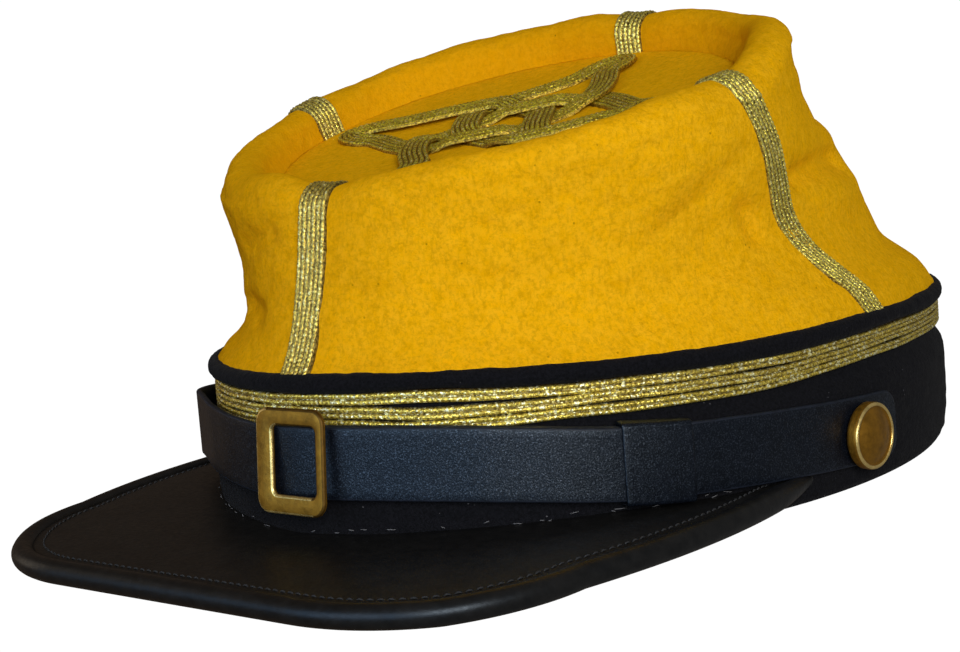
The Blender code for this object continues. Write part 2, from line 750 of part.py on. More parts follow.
def make_button(name, sense):
    angle = math.radians(BUTTON_AZIMUTH)
    plan = oval(angle, BUTTON_STAND_OFF)
    normal = (oval(angle, 1.0) - oval(angle)).to_3d()
    along = Vector((-normal.y, normal.x, 0.0))
    base = Vector((plan.x, plan.y, BUTTON_HEIGHT))
    points, faces = [], []
    for radius, height in BUTTON_PROFILE[1:-1]:
        for i in range(BUTTON_SIDES):
            turn = 2.0 * math.pi * i / BUTTON_SIDES
            spoke = along * math.cos(turn) + Vector((0.0, 0.0, 1.0)) * math.sin(turn)
            points.append(base + normal * height + spoke * radius)
    rows = len(BUTTON_PROFILE) - 2
    for r in range(rows - 1):
        for i in range(BUTTON_SIDES):
            j = (i + 1) % BUTTON_SIDES
            here, there = r * BUTTON_SIDES, (r + 1) * BUTTON_SIDES
            faces.append((here + i, here + j, there + j, there + i))
    for row, (radius, height) in ((0, BUTTON_PROFILE[0]), (rows - 1, BUTTON_PROFILE[-1])):
        middle = len(points)
        points.append(base + normal * height)
        for i in range(BUTTON_SIDES):
            faces.append((row * BUTTON_SIDES + i, row * BUTTON_SIDES + (i + 1) % BUTTON_SIDES, middle))
    points = [Vector((sense * p.x, p.y, p.z)) for p in points]
    return add_mesh(name, points, faces, BRASS, 0.35, 0.9)


make_band()
for row_number in range(BRAID_ROWS):
    make_braid_row(row_number)
make_welt()
make_crown_side()
make_crown_top()
for stripe_name, stripe_azimuth in STRIPE_AZIMUTHS:
    make_stripe(stripe_name, stripe_azimuth)
make_knot()
make_visor()
make_binding()
make_strap("chin_strap_right", STRAP_RIGHT, 1, 1)
make_strap("chin_strap_left", STRAP_LEFT, 0, 1)
make_keeper()
make_buckle()
make_button("side_button_left", 1.0)
make_button("side_button_right", -1.0)
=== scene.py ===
"""Looks of the kepi cap: felt crown, wool band, gold braid, leather, brass fittings, and the stage.

Laid out as a Blender add-on and run as a script. Shapes are worked out in the cap's own frame, in
millimetres: the visor faces -Y, the wearer's left is +X, and azimuth 0 is the front. The cap is then tipped
to the way it rests. A grid of points has its stations along the piece first and its section second.
"""
import math
import random

import bpy
import numpy as np
from bpy.props import FloatProperty, FloatVectorProperty, IntProperty, PointerProperty
from mathutils import Matrix


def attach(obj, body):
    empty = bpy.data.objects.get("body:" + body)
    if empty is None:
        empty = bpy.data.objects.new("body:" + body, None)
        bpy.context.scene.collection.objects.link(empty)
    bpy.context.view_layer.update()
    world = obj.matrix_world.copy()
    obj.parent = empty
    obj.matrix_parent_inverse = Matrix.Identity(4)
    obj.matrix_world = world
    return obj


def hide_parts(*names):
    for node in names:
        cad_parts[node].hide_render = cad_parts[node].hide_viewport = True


bl_info = {
    "name": "Kepi cap",
    "version": (1, 0, 0),
    "blender": (4, 5, 0),
    "location": "View3D > Sidebar > Kepi",
    "description": "Builds the looks of a kepi cap round its packed frame",
    "category": "Object",
}

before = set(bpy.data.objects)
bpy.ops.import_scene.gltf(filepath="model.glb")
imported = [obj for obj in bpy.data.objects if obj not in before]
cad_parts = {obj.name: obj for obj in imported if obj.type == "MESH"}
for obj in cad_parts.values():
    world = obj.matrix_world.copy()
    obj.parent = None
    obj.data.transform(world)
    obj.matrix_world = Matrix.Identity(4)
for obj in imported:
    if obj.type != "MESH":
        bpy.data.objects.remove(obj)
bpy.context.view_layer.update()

MM = 0.001
TINY = 1e-12  # these two keep a division off zero
SMALL = 1e-9

# Which ways a grid of points closes on itself: along the piece, and round its section
CLOSED = (True, True)
ROUND_CAP = (True, False)
ROUND_PART = (False, True)

# Head oval at the centre of the welt
HALF_WIDTH = 81.6
HALF_LENGTH = 108.2

# Band, welt and the rows of braid
BAND_THICKNESS = 2.4
BAND_OUTSIDE = (  # height, outward
    (0.0, 0.1),
    (1.2, 0.9),
    (6.0, 1.6),
    (14.0, 1.9),
    (22.4, 1.35),
    (25.8, -0.5),
    (33.6, -0.7),
)
BAND_FOOT_BLEND = 8.0  # height over which the foot is levelled to lie on the ground
BAND_TOP_Z = 33.4
BAND_STEP_Z = 25.6
BAND_SWELL_LIMIT = 0.9  # the inner face follows the outer one only up to here
BAND_FOOT_INSIDE = -1.5
BAND_TURNS = 400  # points round the band, and in the rows that follow up and down it
BAND_FOOT_TOP = 2.0
BAND_FOOT_ROWS = 6
BAND_ROWS = 46
BAND_INNER_ROWS = 14
BAND_NOISE_ROWS = 100
BAND_FUZZ = (  # height, grain in cells, seed
    (0.07, (2, 2), 21),
    (0.12, (14, 9), 22),
)
SEAM_LINE = (  # azimuth, rise of the crown's seam, stretch of the braid's height, gap under its top row
    (0, 0.3, 1.05, 0.0),
    (12, 0.6, 1.1, 0.15),
    (18, 0.7, 1.11, 0.5),
    (25, 0.8, 1.12, 0.6),
    (34, 0.25, 1.03, 0.3),
    (45, 0.0, 1.0, 0.0),
    (62, -0.4, 0.95, 0.0),
    (71, -0.4, 0.95, 0.0),
    (80, 0.0, 0.87, 0.0),
    (92, 0.5, 0.83, 0.0),
    (105, 0.4, 0.8, 0.0),
    (140, 0.2, 0.85, 0.0),
    (180, 0.0, 0.9, 0.0),
    (270, 0.0, 0.95, 0.0),
    (330, 0.1, 1.0, 0.0),
    (360, 0.3, 1.05, 0.0),
)
BRAID_TOP = 33.7
BRAID_PITCH = 2.55
BRAID_HEIGHT = 2.5
BRAID_BASE = -0.55
BRAID_LIFT = 0.1  # of the cords over the face that carries them
BRAID_ROWS = 3
BRAID_SHIFT = 0.4  # how far the wrapped thread of each row is shifted against the one above
BRAID_SWAYS = (  # height, waves round the band, waves more for each row, turn of the waves for each row
    (0.10, 7, 1, 1),
    (0.07, 23, 0, 2),
)
BRAID_TURNS = 1900
BRAID_FINE = 8  # columns across a rib
WELT_HEIGHT = 35.8
WELT_RADIUS = 2.1
WELT_TURNS = 700
WELT_SIDES = 22
WELT_FUZZ = ((0.06, (2, 2), 31), (0.10, (12, 22), 32))

# Crown
FELT_THICKNESS = 1.8
WALL_FOOT = 37.4
RIM_HALF_WIDTH = 66.5
RIM_HALF_LENGTH = 62.0
RIM_CENTRE_Y = -30.8
RIM_CENTRE_Z = 91.5
RIM_TILT = math.radians(16.5)
RIM_RADIUS = 5.5
RIM_NORMAL = np.array([0.0, -math.sin(RIM_TILT), math.cos(RIM_TILT)])
TOP_DEPTH = 3.6
TOP_HALF_WIDTH = 58.1
TOP_HALF_LENGTH = 54.6
TOP_SAG = 2.2
TOP_TUCK = 0.7  # how far its edge reaches under the rolled rim
TOP_TURNS = 240
TOP_RINGS = 60
TOP_MIDDLE = 0.0001  # shares of the reach: the innermost points, and the first ring
TOP_FIRST_RING = 0.02
TOP_UNDER_STEP = 4
TOP_CALM = 3  # how fast the unevenness grows from the middle outward
TOP_SWELL = ((0.25, (26, 14), 11),)
TOP_SWELL_LIMITS = (-0.5, 0.25)
TOP_SWELL_SHARE = 0.4
TOP_FUZZ = ((0.05, (2, 2), 12),)
INSIDE = "inside"  # share of a point that lies inside the rolled rim, where the felt takes painted shade and orange bounce light
INSIDE_START = 1.4
INSIDE_BLEND = 0.5
ROLL_END = math.radians(165.0)
ROLL_BLEND = 0.06  # share of the roll over which the wall's pull fades
DROP_GAP = 0.1  # of the rolled rim's inner end, outside the top's edge and below it
DROP_REACH = 2.2
CROWN_TURNS = 480
CROWN_ROWS = (74, 30, 14)  # up the wall, over the rim, down to the top
CROWN_INNER_ROWS = 36
FELT_LUMPS = ((1.0, (30, 14), 3), (0.6, (9, 6), 5))
FELT_FUZZ = ((0.07, (2.2, 2.2), 7),)
WALL_SHARES = (0.0, 0.10, 0.20, 0.32, 0.46, 0.62, 0.80, 1.0)
WALL_LEAN = (0.0, 0.10, 0.24, 0.40, 0.55, 0.68, 0.82, 1.0)
FOLDS = (  # azimuth, rim outward, rim up, then how far the wall is pulled in at each share of its height
    (0, 2.5, -0.1, 0.0, 0.9, 0.9, 0.7, 0.4, 0.3, 0.1, -0.5),
    (45, 0.1, 1.8, 0.0, 2.5, 4.2, 4.8, 4.4, 3.2, 1.8, 0.0),
    (90, -2.8, -1.7, 0.0, 0.8, 2.7, 5.3, 5.5, 3.1, 0.3, -1.0),
    (135, 2.5, 0.9, 0.0, 1.4, 4.8, 2.4, 1.0, 3.1, 5.4, 1.2),
    (180, -1.0, 0.0, 0.0, 1.0, 1.3, 1.0, 0.3, -0.6, -1.3, -1.2),
    (225, 1.6, 0.8, 0.0, 1.7, 2.9, 2.9, 2.7, 3.0, 2.7, 0.8),
    (270, -1.9, 0.2, 0.0, 1.6, 3.2, 4.5, 4.5, 3.1, 1.2, -0.3),
    (315, 0.5, -1.4, 0.0, 2.6, 5.8, 6.9, 5.6, 4.2, 1.6, -1.1),
)
RIM_BUMPS = (  # azimuth, rise, reach round
    (-17, 1.7, 10),
    (1, -1.2, 8),
    (48, -1.9, 17),
    (72, 0.8, 7),
    (97, -1.3, 9),
    (143, -2.7, 17),
    (177, -0.9, 6),
    (189, 0.9, 8),
)
DENTS = (  # azimuth, share of the height, depth, reach round, reach up
    (140, 0.95, 1.2, 16, 0.035),
    (138, 0.86, -1.0, 16, 0.04),
    (150, 0.12, 1.0, 14, 0.07),
    (110, 0.30, 1.2, 9, 0.10),
    (72, 0.52, 0.9, 8, 0.16),
    (60, 0.12, -0.5, 12, 0.06),
    (28, 0.40, 0.6, 10, 0.20),
    (345, 0.55, 0.5, 8, 0.20),
    (200, 0.60, 1.2, 12, 0.20),
    (250, 0.35, 1.0, 12, 0.15),
)
DEGREE_RUN = 1.45  # millimetres of wall to a degree and to its whole height, for the creases
WALL_RUN = 62.0
CREASES = (  # azimuth and share of the height at both ends, depth, reach
    (98, 0.615, 121, 0.545, 3.2, 3.8),
    (104, 0.50, 124, 0.47, -0.8, 5.0),
    (122, 0.72, 140, 0.72, 1.5, 1.8),
    (122, 0.64, 136, 0.615, -1.0, 3.0),
    (83, 0.80, 62, 0.56, 0.9, 4.0),
    (80, 0.55, 81, 0.42, 1.4, 3.0),
    (-12, 0.86, -22, 0.76, 1.3, 4.5),
    (-23, 0.38, -17, 0.34, 2.0, 5.0),
)

# Stripes and knot
STRIPES = (  # name, azimuth, brightness factor of painted light and shade: the front stripe darker and the left one lighter for how the light falls on them
    ("front", 0, 0.7),
    ("left", 90, 1.1),
    ("back", 177.6, 1.0),
    ("right", 270, 1.0),
)
STRIPE_WIDTH = 8.3
STRIPE_SINK = 0.35
STRIPE_SKIRT = 0.4  # how far its edges reach below its foot
STRIPE_END = 2.7  # row of the crown where it ends
STRIPE_GUIDE = 400  # points that its length is measured with
STRIPE_SWAYS = ((0.12, 9.0), (0.06, 3.1))  # reach, length
NORMAL_SPAN = 9  # stations over which its normals are averaged
CORD_PITCH = 1.15
CORD_STEP = 0.3  # from one station along a cord to the next
CORD_FINE = 6  # columns across a rib, and the ones on its crest, which carry a painted highlight
CORD_CRESTS = (2, 3)
CORD_LAST = 0.99999  # keeps the last point in the last rib
CORD_EDGE = 0.15  # share of the relief that the groove at a cord's edge keeps, and the one in its middle
CORD_SEAM = 0.50
CORD_SLANT = 0.9  # pitches that the wrapped thread runs on across a rib
CORD_WRAP = 0.10
CORDS = 3
KNOT_CENTRE_X = -3.5
KNOT_CENTRE_Y = 4.0
KNOT_SQUEEZE = 0.92
KNOT_SWING_SIDE = 5.7
KNOT_SWING_FRONT = 5.5
KNOT_SWING_BACK = 8.0
KNOT_SWING_REACH = 48.0
KNOT_SWING_BEND = 1.5
KNOT_RISE = 1.35
KNOT_LIFT = 0.12
KNOT_DRAPE = 0.25
KNOT_SKIRT = 0.2  # how far its edges reach below its foot
KNOT_BEND_SHARE = 0.92  # of a bend's radius that its inner half may fill
KNOT_STEPS = 24
KNOT_SPAN = 3  # stations to each side that its direction and bend are read from
KNOT_SMOOTHING = 6
KNOT_RISE_SMOOTHING = 10
STRAIGHT = 1e-6  # curvature that counts as none
KNOT_FLATNESS = 0.8
KNOT_WIDTH = 7.6
KNOT_PATH = (  # across, along, share of the rise; half of one strand, from its tip to its middle
    (46.3, 0.0, 0.5),
    (44.7, -2.9, 0.6),
    (41.2, -4.5, 0.8),
    (34.7, -6.1, 1.0),
    (25.0, -12.6, 1.0),
    (16.1, -16.7, 1.0),
    (11.5, -16.5, 1.0),
    (6.7, -14.5, 0.0),
    (0.0, -11.3, 0.0),
    (-4.8, -8.7, 0.0),
    (-6.9, -6.9, 0.5),
)

# Visor
VISOR_FRONT = 148.2
VISOR_CORNER_X = 73.6
VISOR_CORNER_RADIUS = 39.5
VISOR_END = math.radians(74.9)
VISOR_BULGE = 5.3
VISOR_THICKNESS = 2.6
VISOR_EDGE_FRONT_Z = 0.6
VISOR_EDGE_END_Z = 3.6
VISOR_EDGE_LIFT = 0.65
VISOR_EDGE_STEP = 1.45
VISOR_ARCH = 0.5
VISOR_JOINT = ((0, 3.6), (44, 5.7), (75, 4.6))  # azimuth, height of the upper face at the band
VISOR_ROOT = 0.9  # outside the head oval
VISOR_CLEARANCE = 0.6
VISOR_ROWS = 48
VISOR_UNDER_STEP = 3
EDGE_FRONT_POINTS = 40  # points of the edge's line, then its even stations and how many each piece uses
EDGE_SIDE_POINTS = 60
EDGE_STATIONS = 150
VISOR_STATIONS = 146
BINDING_STATIONS = 148
BINDING_RADIUS = 2.65
BINDING_GRIP = BINDING_RADIUS * 0.8
BINDING_TAPER = 20.0  # length at each end over which it thins, to this share, and how round
BINDING_END = 0.35
BINDING_SWELL = 0.7
BINDING_CLEARANCE = 2.0
BINDING_SIDES = 28
STITCH_INSET = 4.7
STITCH_THICKNESS = 0.22
STITCH_SHARE = 0.36  # of the pitch, to each side of a stitch's middle
STITCH_HEIGHTS = (-0.1, 0.12, 0.2, 0.12, -0.1)
STITCH_ROOT = 1.9  # outside the head oval
STITCH_SPARE = 8  # stations at the end without a stitch
THREAD_SIDES = 6
THREAD_THINNING = (0.5, 0.9, 1.0, 0.9, 0.5)

# Loose threads of the seam between visor and band
SEAM_REACH = 64.0
SEAM_SEED = 8
SEAM_SHARE = 0.62
SEAM_THREAD_LENGTH = (0.5, 2.4)
SEAM_GAP = (0.25, 1.4)
SEAM_THICKNESS = 0.11
SEAM_RISE = (-0.3, 1.3)
SEAM_SLANT = (-0.25, 0.25)
SEAM_LOOSE = (0.0, 0.5)
SEAM_STAND_OFF = 2.05

# Chin strap
STRAP_WIDTH = 15.7
STRAP_THICKNESS = 1.4
STRAP_EDGE = 0.45
STRAP_FLAT = 7  # points across each flat face
STRAP_STEP = 0.5
STRAP_END_STEPS = (0.05, 0.12, 0.22, 0.35)
STRAP_CORNER = 4.2
STRAP_RUN = 1.75  # millimetres to a degree at its ends
STRAP_RIPPLE = 0.05
STRAP_RIPPLES = 40.0
STRAP_RIGHT = (  # azimuth, height, stand-off of the inner face from the head oval
    (-90.5, 12.3, 2.3),
    (-84.0, 13.2, 2.3),
    (-74.0, 15.3, 2.4),
    (-65.0, 17.2, 3.4),
    (-57.0, 18.6, 5.2),
    (-49.0, 19.8, 6.4),
    (-42.0, 20.7, 5.4),
    (-35.0, 21.1, 3.2),
    (-28.0, 21.2, 2.6),
    (-20.0, 21.0, 2.8),
    (-12.0, 20.5, 3.4),
    (-4.0, 20.0, 4.0),
    (4.0, 20.0, 4.05),
    (12.0, 20.1, 4.05),
    (20.0, 19.9, 4.05),
    (28.0, 19.2, 4.05),
    (36.0, 18.1, 4.35),
    (44.0, 16.7, 4.95),
    (50.0, 15.8, 4.95),
    (54.4, 15.3, 4.95),
)
STRAP_LEFT = (
    (4.0, 20.0, 2.3),
    (12.0, 20.1, 2.3),
    (20.0, 19.9, 2.3),
    (28.0, 19.2, 2.3),
    (36.0, 18.1, 2.65),
    (44.0, 16.7, 3.25),
    (54.9, 15.2, 3.25),
    (63.6, 14.5, 2.9),
    (72.0, 13.7, 2.4),
    (80.0, 12.9, 2.3),
    (90.5, 12.1, 2.3),
)
STRAP_PARTS = (  # part, route, rounded ends and the way into the strap from each
    ("right", STRAP_RIGHT, ((STRAP_RIGHT[0][0], 1.0), (STRAP_RIGHT[-1][0], -1.0))),
    ("left", STRAP_LEFT, ((STRAP_LEFT[-1][0], -1.0),)),
)
KEEPER_START = 46.3
KEEPER_END = 54.9
KEEPER_WALL = 0.8
KEEPER_INSIDE = 2.3
KEEPER_PLAY = 0.2
KEEPER_FLAT = 0.4
KEEPER_STATIONS = 16
KEEPER_EDGE = ((0.0, 0.28), (0.12, 0.08))  # degrees from its edge, share of half its wall that is rounded off
KEEPER_CORNER = 1.1
KEEPER_CORNER_INSIDE = 0.4
KEEPER_FINE = 7

# Buckle and buttons
BUCKLE_X = 3.95
BUCKLE_Z = 20.6
BUCKLE_SIZE = (20.4, 22.7)
BUCKLE_LEAN = math.radians(5.0)
BUCKLE_BARS = (4.9, 2.5, 3.7, 4.1)  # wearer's right, wearer's left, top, bottom
BUCKLE_BACK = HALF_LENGTH + 6.4
BUCKLE_THICKNESS = 1.2
BUCKLE_CORNER = 3.4
WINDOW_CORNER = 1.4
BUCKLE_FINE = 13
BUCKLE_SHADE_FROM = 0.55  # share of its half width from which its rubbed edges take painted shade, a darker brass
BUCKLE_SECTION = (  # ring, inset, height over the back, rubbed or not up to the next row; rubbed rows take wear with a painted highlight
    ("plate", 0.3, 0.0, 0),
    ("plate", 0.0, 0.3, 0),
    ("plate", 0.0, 0.65, 1),
    ("plate", 0.08, 0.9, 1),
    ("plate", 0.25, 1.1, 1),
    ("plate", 0.55, BUCKLE_THICKNESS, 0),
    ("window", -0.5, BUCKLE_THICKNESS, 1),
    ("window", -0.22, 1.1, 1),
    ("window", -0.06, 0.9, 1),
    ("window", 0.0, 0.65, 0),
    ("window", 0.0, 0.3, 0),
    ("window", -0.25, 0.0, 0),
)
BUTTON_AZIMUTH = math.radians(82.8)
BUTTON_HEIGHT = 11.6
BUTTON_STAND_OFF = 3.9
BUTTON_ROWS = 57
BUTTON_POLE = 0.02  # radius that its middle keeps
BUTTON_WORN = (4.6, 7.4)  # rows of the profile that take the rubbed brass, wear with a painted highlight
BUTTON_PROFILE = (  # radius, height
    (0.0, 0.0),
    (6.4, 0.0),
    (7.2, 0.3),
    (7.65, 0.9),
    (7.7, 2.5),
    (7.55, 3.05),
    (7.25, 3.3),
    (6.9, 3.25),
    (6.6, 2.95),
    (6.3, 2.9),
    (5.6, 3.2),
    (4.4, 3.65),
    (3.0, 4.0),
    (1.5, 4.2),
    (0.0, 4.28),
)

# Resting plane
REST_DROP = BINDING_RADIUS - VISOR_EDGE_FRONT_Z
REST_REAR = HALF_LENGTH - 0.1
REST_TILT = math.atan2(REST_DROP, VISOR_FRONT + REST_REAR)
CENTRE_SHIFT = 20.434

# Camera, as it stood for the photo, in the cap's own frame
CAMERA_AZIMUTH = math.radians(36.678)
CAMERA_ELEVATION = math.radians(4.6)
CAMERA_DISTANCE = 466.67
CAMERA_TARGET_Z = 52.5
CAMERA_PAN = math.radians(-3.57)
CAMERA_TILT = math.radians(2.069)
CAMERA_ROLL = math.radians(4.18)
CAMERA_LENS = 66.96
CAMERA_SENSOR = 36.0
CAMERA_CLIP = (0.02, 20.0)

# Lights and backdrop
LIGHTS_MIDDLE = (0.0, -20.0, 55.0)
LIGHTS = (  # name, azimuth, elevation, distance, size in metres, colour, lights matte and shiny faces
    ("key", 48.0, 14.0, 1100.0, (0.40, 0.40), (1.0, 0.985, 0.95), True, True),
    ("side", -72.0, 12.0, 1300.0, (0.50, 0.60), (1.0, 0.82, 0.62), True, True),
    ("window", -1.0, 9.0, 1300.0, (2.20, 0.80), (0.44, 0.70, 1.0), False, True),
    ("front", 0.0, 12.0, 1300.0, (0.80, 0.60), (0.95, 0.97, 1.0), True, True),
    ("fill", 118.0, 15.0, 1200.0, (0.60, 0.60), (1.0, 0.97, 0.92), True, False),
)
ROOM_TURN = (0.1, -0.5)  # sideways part of a direction where the room's colour starts and stops to change
ROOM_LIGHT = (1.0, 0.99, 0.97)
ROOM_BROWN = (0.56, 0.39, 0.27)
STAGE_GLOW = 1.05
STAGE_REACH = 4.0
STAGE_SIDES = 32
STAGE_WALL = (-0.01, 3.0)  # its foot and its top
STAGE_FLOOR_Z = -0.0002

# Colours that the sliders don't hold. Scales of noise in the materials are per metre
WHITE = (1.0, 1.0, 1.0)
# painted shade and orange bounce light for the felt inside the rolled rim
INSIDE_SHADE_COLOUR = (0.76, 0.335, 0.0015)
PALE_NAP = (0.95, 0.62, 0.06)
LINT_COLOUR = (0.25, 0.25, 0.28)
LOW_BRAID_COLOUR = (0.62, 0.48, 0.03)
KNOT_TINT = (1.35, 1.14, 0.3)
# painted highlights along the crests of the ribs of the knot and the stripes
KNOT_CREST_HIGHLIGHT = (1.0, 0.70, 0.07)
STRIPE_CREST_HIGHLIGHT = (0.95, 0.74, 0.17)
# painted highlight and glint colours that are laid into the gold's colour
GOLD_HIGHLIGHT = (1.0, 0.84, 0.35)
GOLD_GLINT = (1.0, 0.98, 0.62)
CORD_GLINT = (1.0, 0.92, 0.42)
COOL_SHINE = (0.70, 0.84, 1.0)
VISOR_SHINE = (0.86, 0.94, 1.0)
SPECK_CORE = 0.6  # share of a speck that is full
NAP_STRETCHES = ((1.0, 0.35, 1.0), (0.4, 1.0, 0.8), (1.0, 1.0, 0.35))


def rest_matrix():
    """From the cap's own frame in millimetres to the world in metres."""
    place = Matrix.Translation((0.0, CENTRE_SHIFT * MM, REST_REAR * math.sin(REST_TILT) * MM))
    return place @ Matrix.Rotation(-REST_TILT, 4, "X") @ Matrix.Scale(MM, 4)


def to_world(points):
    turn = np.array(rest_matrix())
    return points @ turn[:3, :3].T + turn[:3, 3]


def unit(vectors):
    return vectors / (np.linalg.norm(vectors, axis=-1, keepdims=True) + TINY)


def full_turn(count):
    """Evenly spaced angles all the way round."""
    return np.linspace(0.0, 2.0 * math.pi, count, endpoint=False)


def raised(plan, height):
    """Plan points with a height each."""
    return np.concatenate([plan, height[..., None]], -1)


def travelled(line):
    """Length from the start of a line to each of its points."""
    return np.concatenate([[0.0], np.cumsum(np.linalg.norm(np.diff(line, axis=0), axis=1))])


def at_lengths(line, gone, where):
    """Points of a line at the asked lengths; gone is the length at each of its own points."""
    return np.stack([np.interp(where, gone, part) for part in line.T], -1)


def smoothed(values, times):
    """Values of a closed line, each averaged with its neighbours so many times."""
    for _ in range(times):
        values = (np.roll(values, 1, 0) + 2.0 * values + np.roll(values, -1, 0)) / 4.0
    return values


def spline(a, b, c, d, share):
    """Smooth curve from b to c that heeds a before them and d after them."""
    return b + 0.5 * share * (c - a + share * (2 * a - 5 * b + 4 * c - d + share * (3 * (b - c) + d - a)))


def bell(apart, reach):
    return np.exp(-((apart / reach) ** 2))


def degrees_from(azimuth, where):
    """Degrees from one azimuth to another, the short way round."""
    return (azimuth - where + 180.0) % 360.0 - 180.0


def oval(turn, outward=0.0):
    """Plan points of the head oval pushed out along its normal, and that normal."""
    sine, cosine = np.sin(turn), np.cos(turn)
    normal = unit(np.stack([sine / HALF_WIDTH, -cosine / HALF_LENGTH], -1))
    plan = np.stack([HALF_WIDTH * sine, -HALF_LENGTH * cosine], -1)
    return plan + normal * np.asarray(outward, float)[..., None], normal


def wall_points(turn, outward, height):
    """Points at an azimuth in radians, a distance outside the head oval, and a height."""
    turn, outward, height = np.broadcast_arrays(turn, outward, height)
    return raised(oval(turn, outward)[0], height)


def table_weights(knots, where):
    """Weights of each row of a table at the asked positions, for a smooth curve through the rows."""
    knots = np.asarray(knots, float)
    where = np.asarray(where, float)
    last = len(knots) - 1
    i = np.clip(np.searchsorted(knots, where, side="right") - 1, 0, last - 1)
    before, after = np.maximum(i - 1, 0), np.minimum(i + 2, last)
    span = knots[i + 1] - knots[i]
    share = np.clip((where - knots[i]) / span, 0.0, 1.0)
    bend = (share * share * (3.0 - 2.0 * share))[..., None]
    leave = (span * share * (1.0 - share) ** 2 / (knots[i + 1] - knots[before]))[..., None]
    arrive = (span * share * share * (1.0 - share) / (knots[after] - knots[i]))[..., None]
    eye = np.eye(last + 1)
    weights = eye[i] * (1.0 - bend) + eye[i + 1] * bend
    return weights + (eye[i + 1] - eye[before]) * leave - (eye[after] - eye[i]) * arrive


def curve_through(rows, where):
    """Values of a table at the asked positions of its first column."""
    table = np.array(rows, float)
    return table_weights(table[:, 0], where) @ table[:, 1:]


def around(rows, azimuth):
    """Values of an evenly spaced table at azimuths in degrees, smooth all the way round."""
    table = np.array(rows, float)[:, 1:]
    count = len(table)
    turn = np.asarray(azimuth, float) % 360.0 / (360.0 / count)
    i = np.floor(turn).astype(int)
    return spline(*(table[(i + step) % count] for step in (-1, 0, 1, 2)), (turn - i)[..., None])


def rim_frame(x, y, lift):
    """Points of the rim plane: x to the wearer's left, y to the back, lift off the plane."""
    x, y, lift = np.broadcast_arrays(x, y, lift)
    flat = [x, RIM_CENTRE_Y + y * math.cos(RIM_TILT), RIM_CENTRE_Z + y * math.sin(RIM_TILT)]
    return np.stack(flat, -1) + lift[..., None] * RIM_NORMAL


def dented(pull, azimuth, share):
    """How far the wall is pulled in at shares of its height, with its dents and creases added."""
    for where, middle, depth, wide, tall in DENTS:
        gap = degrees_from(azimuth, where)
        pull = pull + depth * np.exp(-((gap / wide) ** 2) - ((share - middle) / tall) ** 2)
    for turn_a, share_a, turn_b, share_b, depth, reach in CREASES:
        run_x, run_y = (turn_b - turn_a) * DEGREE_RUN, (share_b - share_a) * WALL_RUN
        x, y = degrees_from(azimuth, turn_a) * DEGREE_RUN, (share - share_a) * WALL_RUN
        along = np.clip((x * run_x + y * run_y) / (run_x**2 + run_y**2), 0.0, 1.0)
        pull = pull + depth * bell(np.hypot(x - along * run_x, y - along * run_y), reach)
    return pull


def crown_points(azimuth, row):
    """Outer face of the crown side: row 0 to 1 is the wall, 1 to 2 the rolled rim, 2 to 3 the drop inside."""
    azimuth, row = np.broadcast_arrays(np.asarray(azimuth, float), np.asarray(row, float))
    turn = np.radians(azimuth)
    sine, cosine = np.sin(turn), np.cos(turn)
    values = around(FOLDS, azimuth)
    outward, up = values[..., 0], values[..., 1]
    for where, rise, reach in RIM_BUMPS:
        up = up + rise * bell(degrees_from(azimuth, where), reach)
    centre = rim_frame((RIM_HALF_WIDTH + outward) * sine, -(RIM_HALF_LENGTH + outward) * cosine, up)
    plane = unit(np.stack([sine / RIM_HALF_WIDTH, -cosine / RIM_HALF_LENGTH], -1))
    across, forward = plane[..., 0], plane[..., 1]
    away = np.stack([across, forward * math.cos(RIM_TILT), forward * math.sin(RIM_TILT)], -1)
    foot = wall_points(turn, 0.0, WALL_FOOT + curve_through(SEAM_LINE, azimuth % 360.0)[..., 0])
    crest = centre + away * RIM_RADIUS

    low = np.clip(row, 0.0, 1.0)
    weights = table_weights(WALL_SHARES, low)
    lean = weights @ np.array(WALL_LEAN)
    pull = dented((weights * values[..., 2:]).sum(-1), azimuth, low)
    wall = foot + (crest - foot) * lean[..., None]
    wall[..., :2] -= oval(turn)[1] * pull[..., None]
    wall[..., 2] = foot[..., 2] + (crest[..., 2] - foot[..., 2]) * low

    roll = ROLL_END * np.clip(row - 1.0, 0.0, 1.0)[..., None]
    rolled = centre + (away * np.cos(roll) + RIM_NORMAL * np.sin(roll)) * RIM_RADIUS
    drop_x, drop_y = (TOP_HALF_WIDTH + DROP_GAP) * sine, -(TOP_HALF_LENGTH + DROP_GAP) * cosine
    drop = rim_frame(drop_x, drop_y, -TOP_DEPTH - DROP_REACH)
    fallen = rolled + (drop - rolled) * np.clip(row - 2.0, 0.0, 1.0)[..., None]
    wall_left = bell(row - 1.0, ROLL_BLEND)[..., None] * (wall - crest)
    past = (row > 1.0)[..., None]
    return np.where(past, fallen + np.where(past, wall_left, 0.0), wall)


def surface_normals(points):
    """Outward normals of a grid of points whose rows close round the cap."""
    ahead = np.roll(points, -1, 0) - np.roll(points, 1, 0)
    return unit(np.cross(ahead, np.gradient(points, axis=1)))


def soft_noise(shape, reach, seed):
    """Smooth noise that wraps round in both directions; reach is its grain in cells of each axis."""
    rough = np.random.default_rng(seed).standard_normal(shape)
    waves = [np.fft.fftfreq(n) * size for n, size in zip(shape, reach)]
    keep = np.exp(-2.0 * (waves[0][:, None] ** 2 + waves[1][None, :] ** 2) * math.pi)
    smooth = np.real(np.fft.ifft2(np.fft.fft2(rough) * keep))
    return smooth / (smooth.std() + SMALL)


def unevenness(layers, shape, kept=None):
    """Layers of soft noise laid over each other, cut to the columns that are kept."""
    return sum(height * soft_noise(shape, reach, seed) for height, reach, seed in layers)[:, :kept]


def new_object(name, data):
    obj = bpy.data.objects.new(name, data)
    bpy.context.scene.collection.objects.link(obj)
    return obj


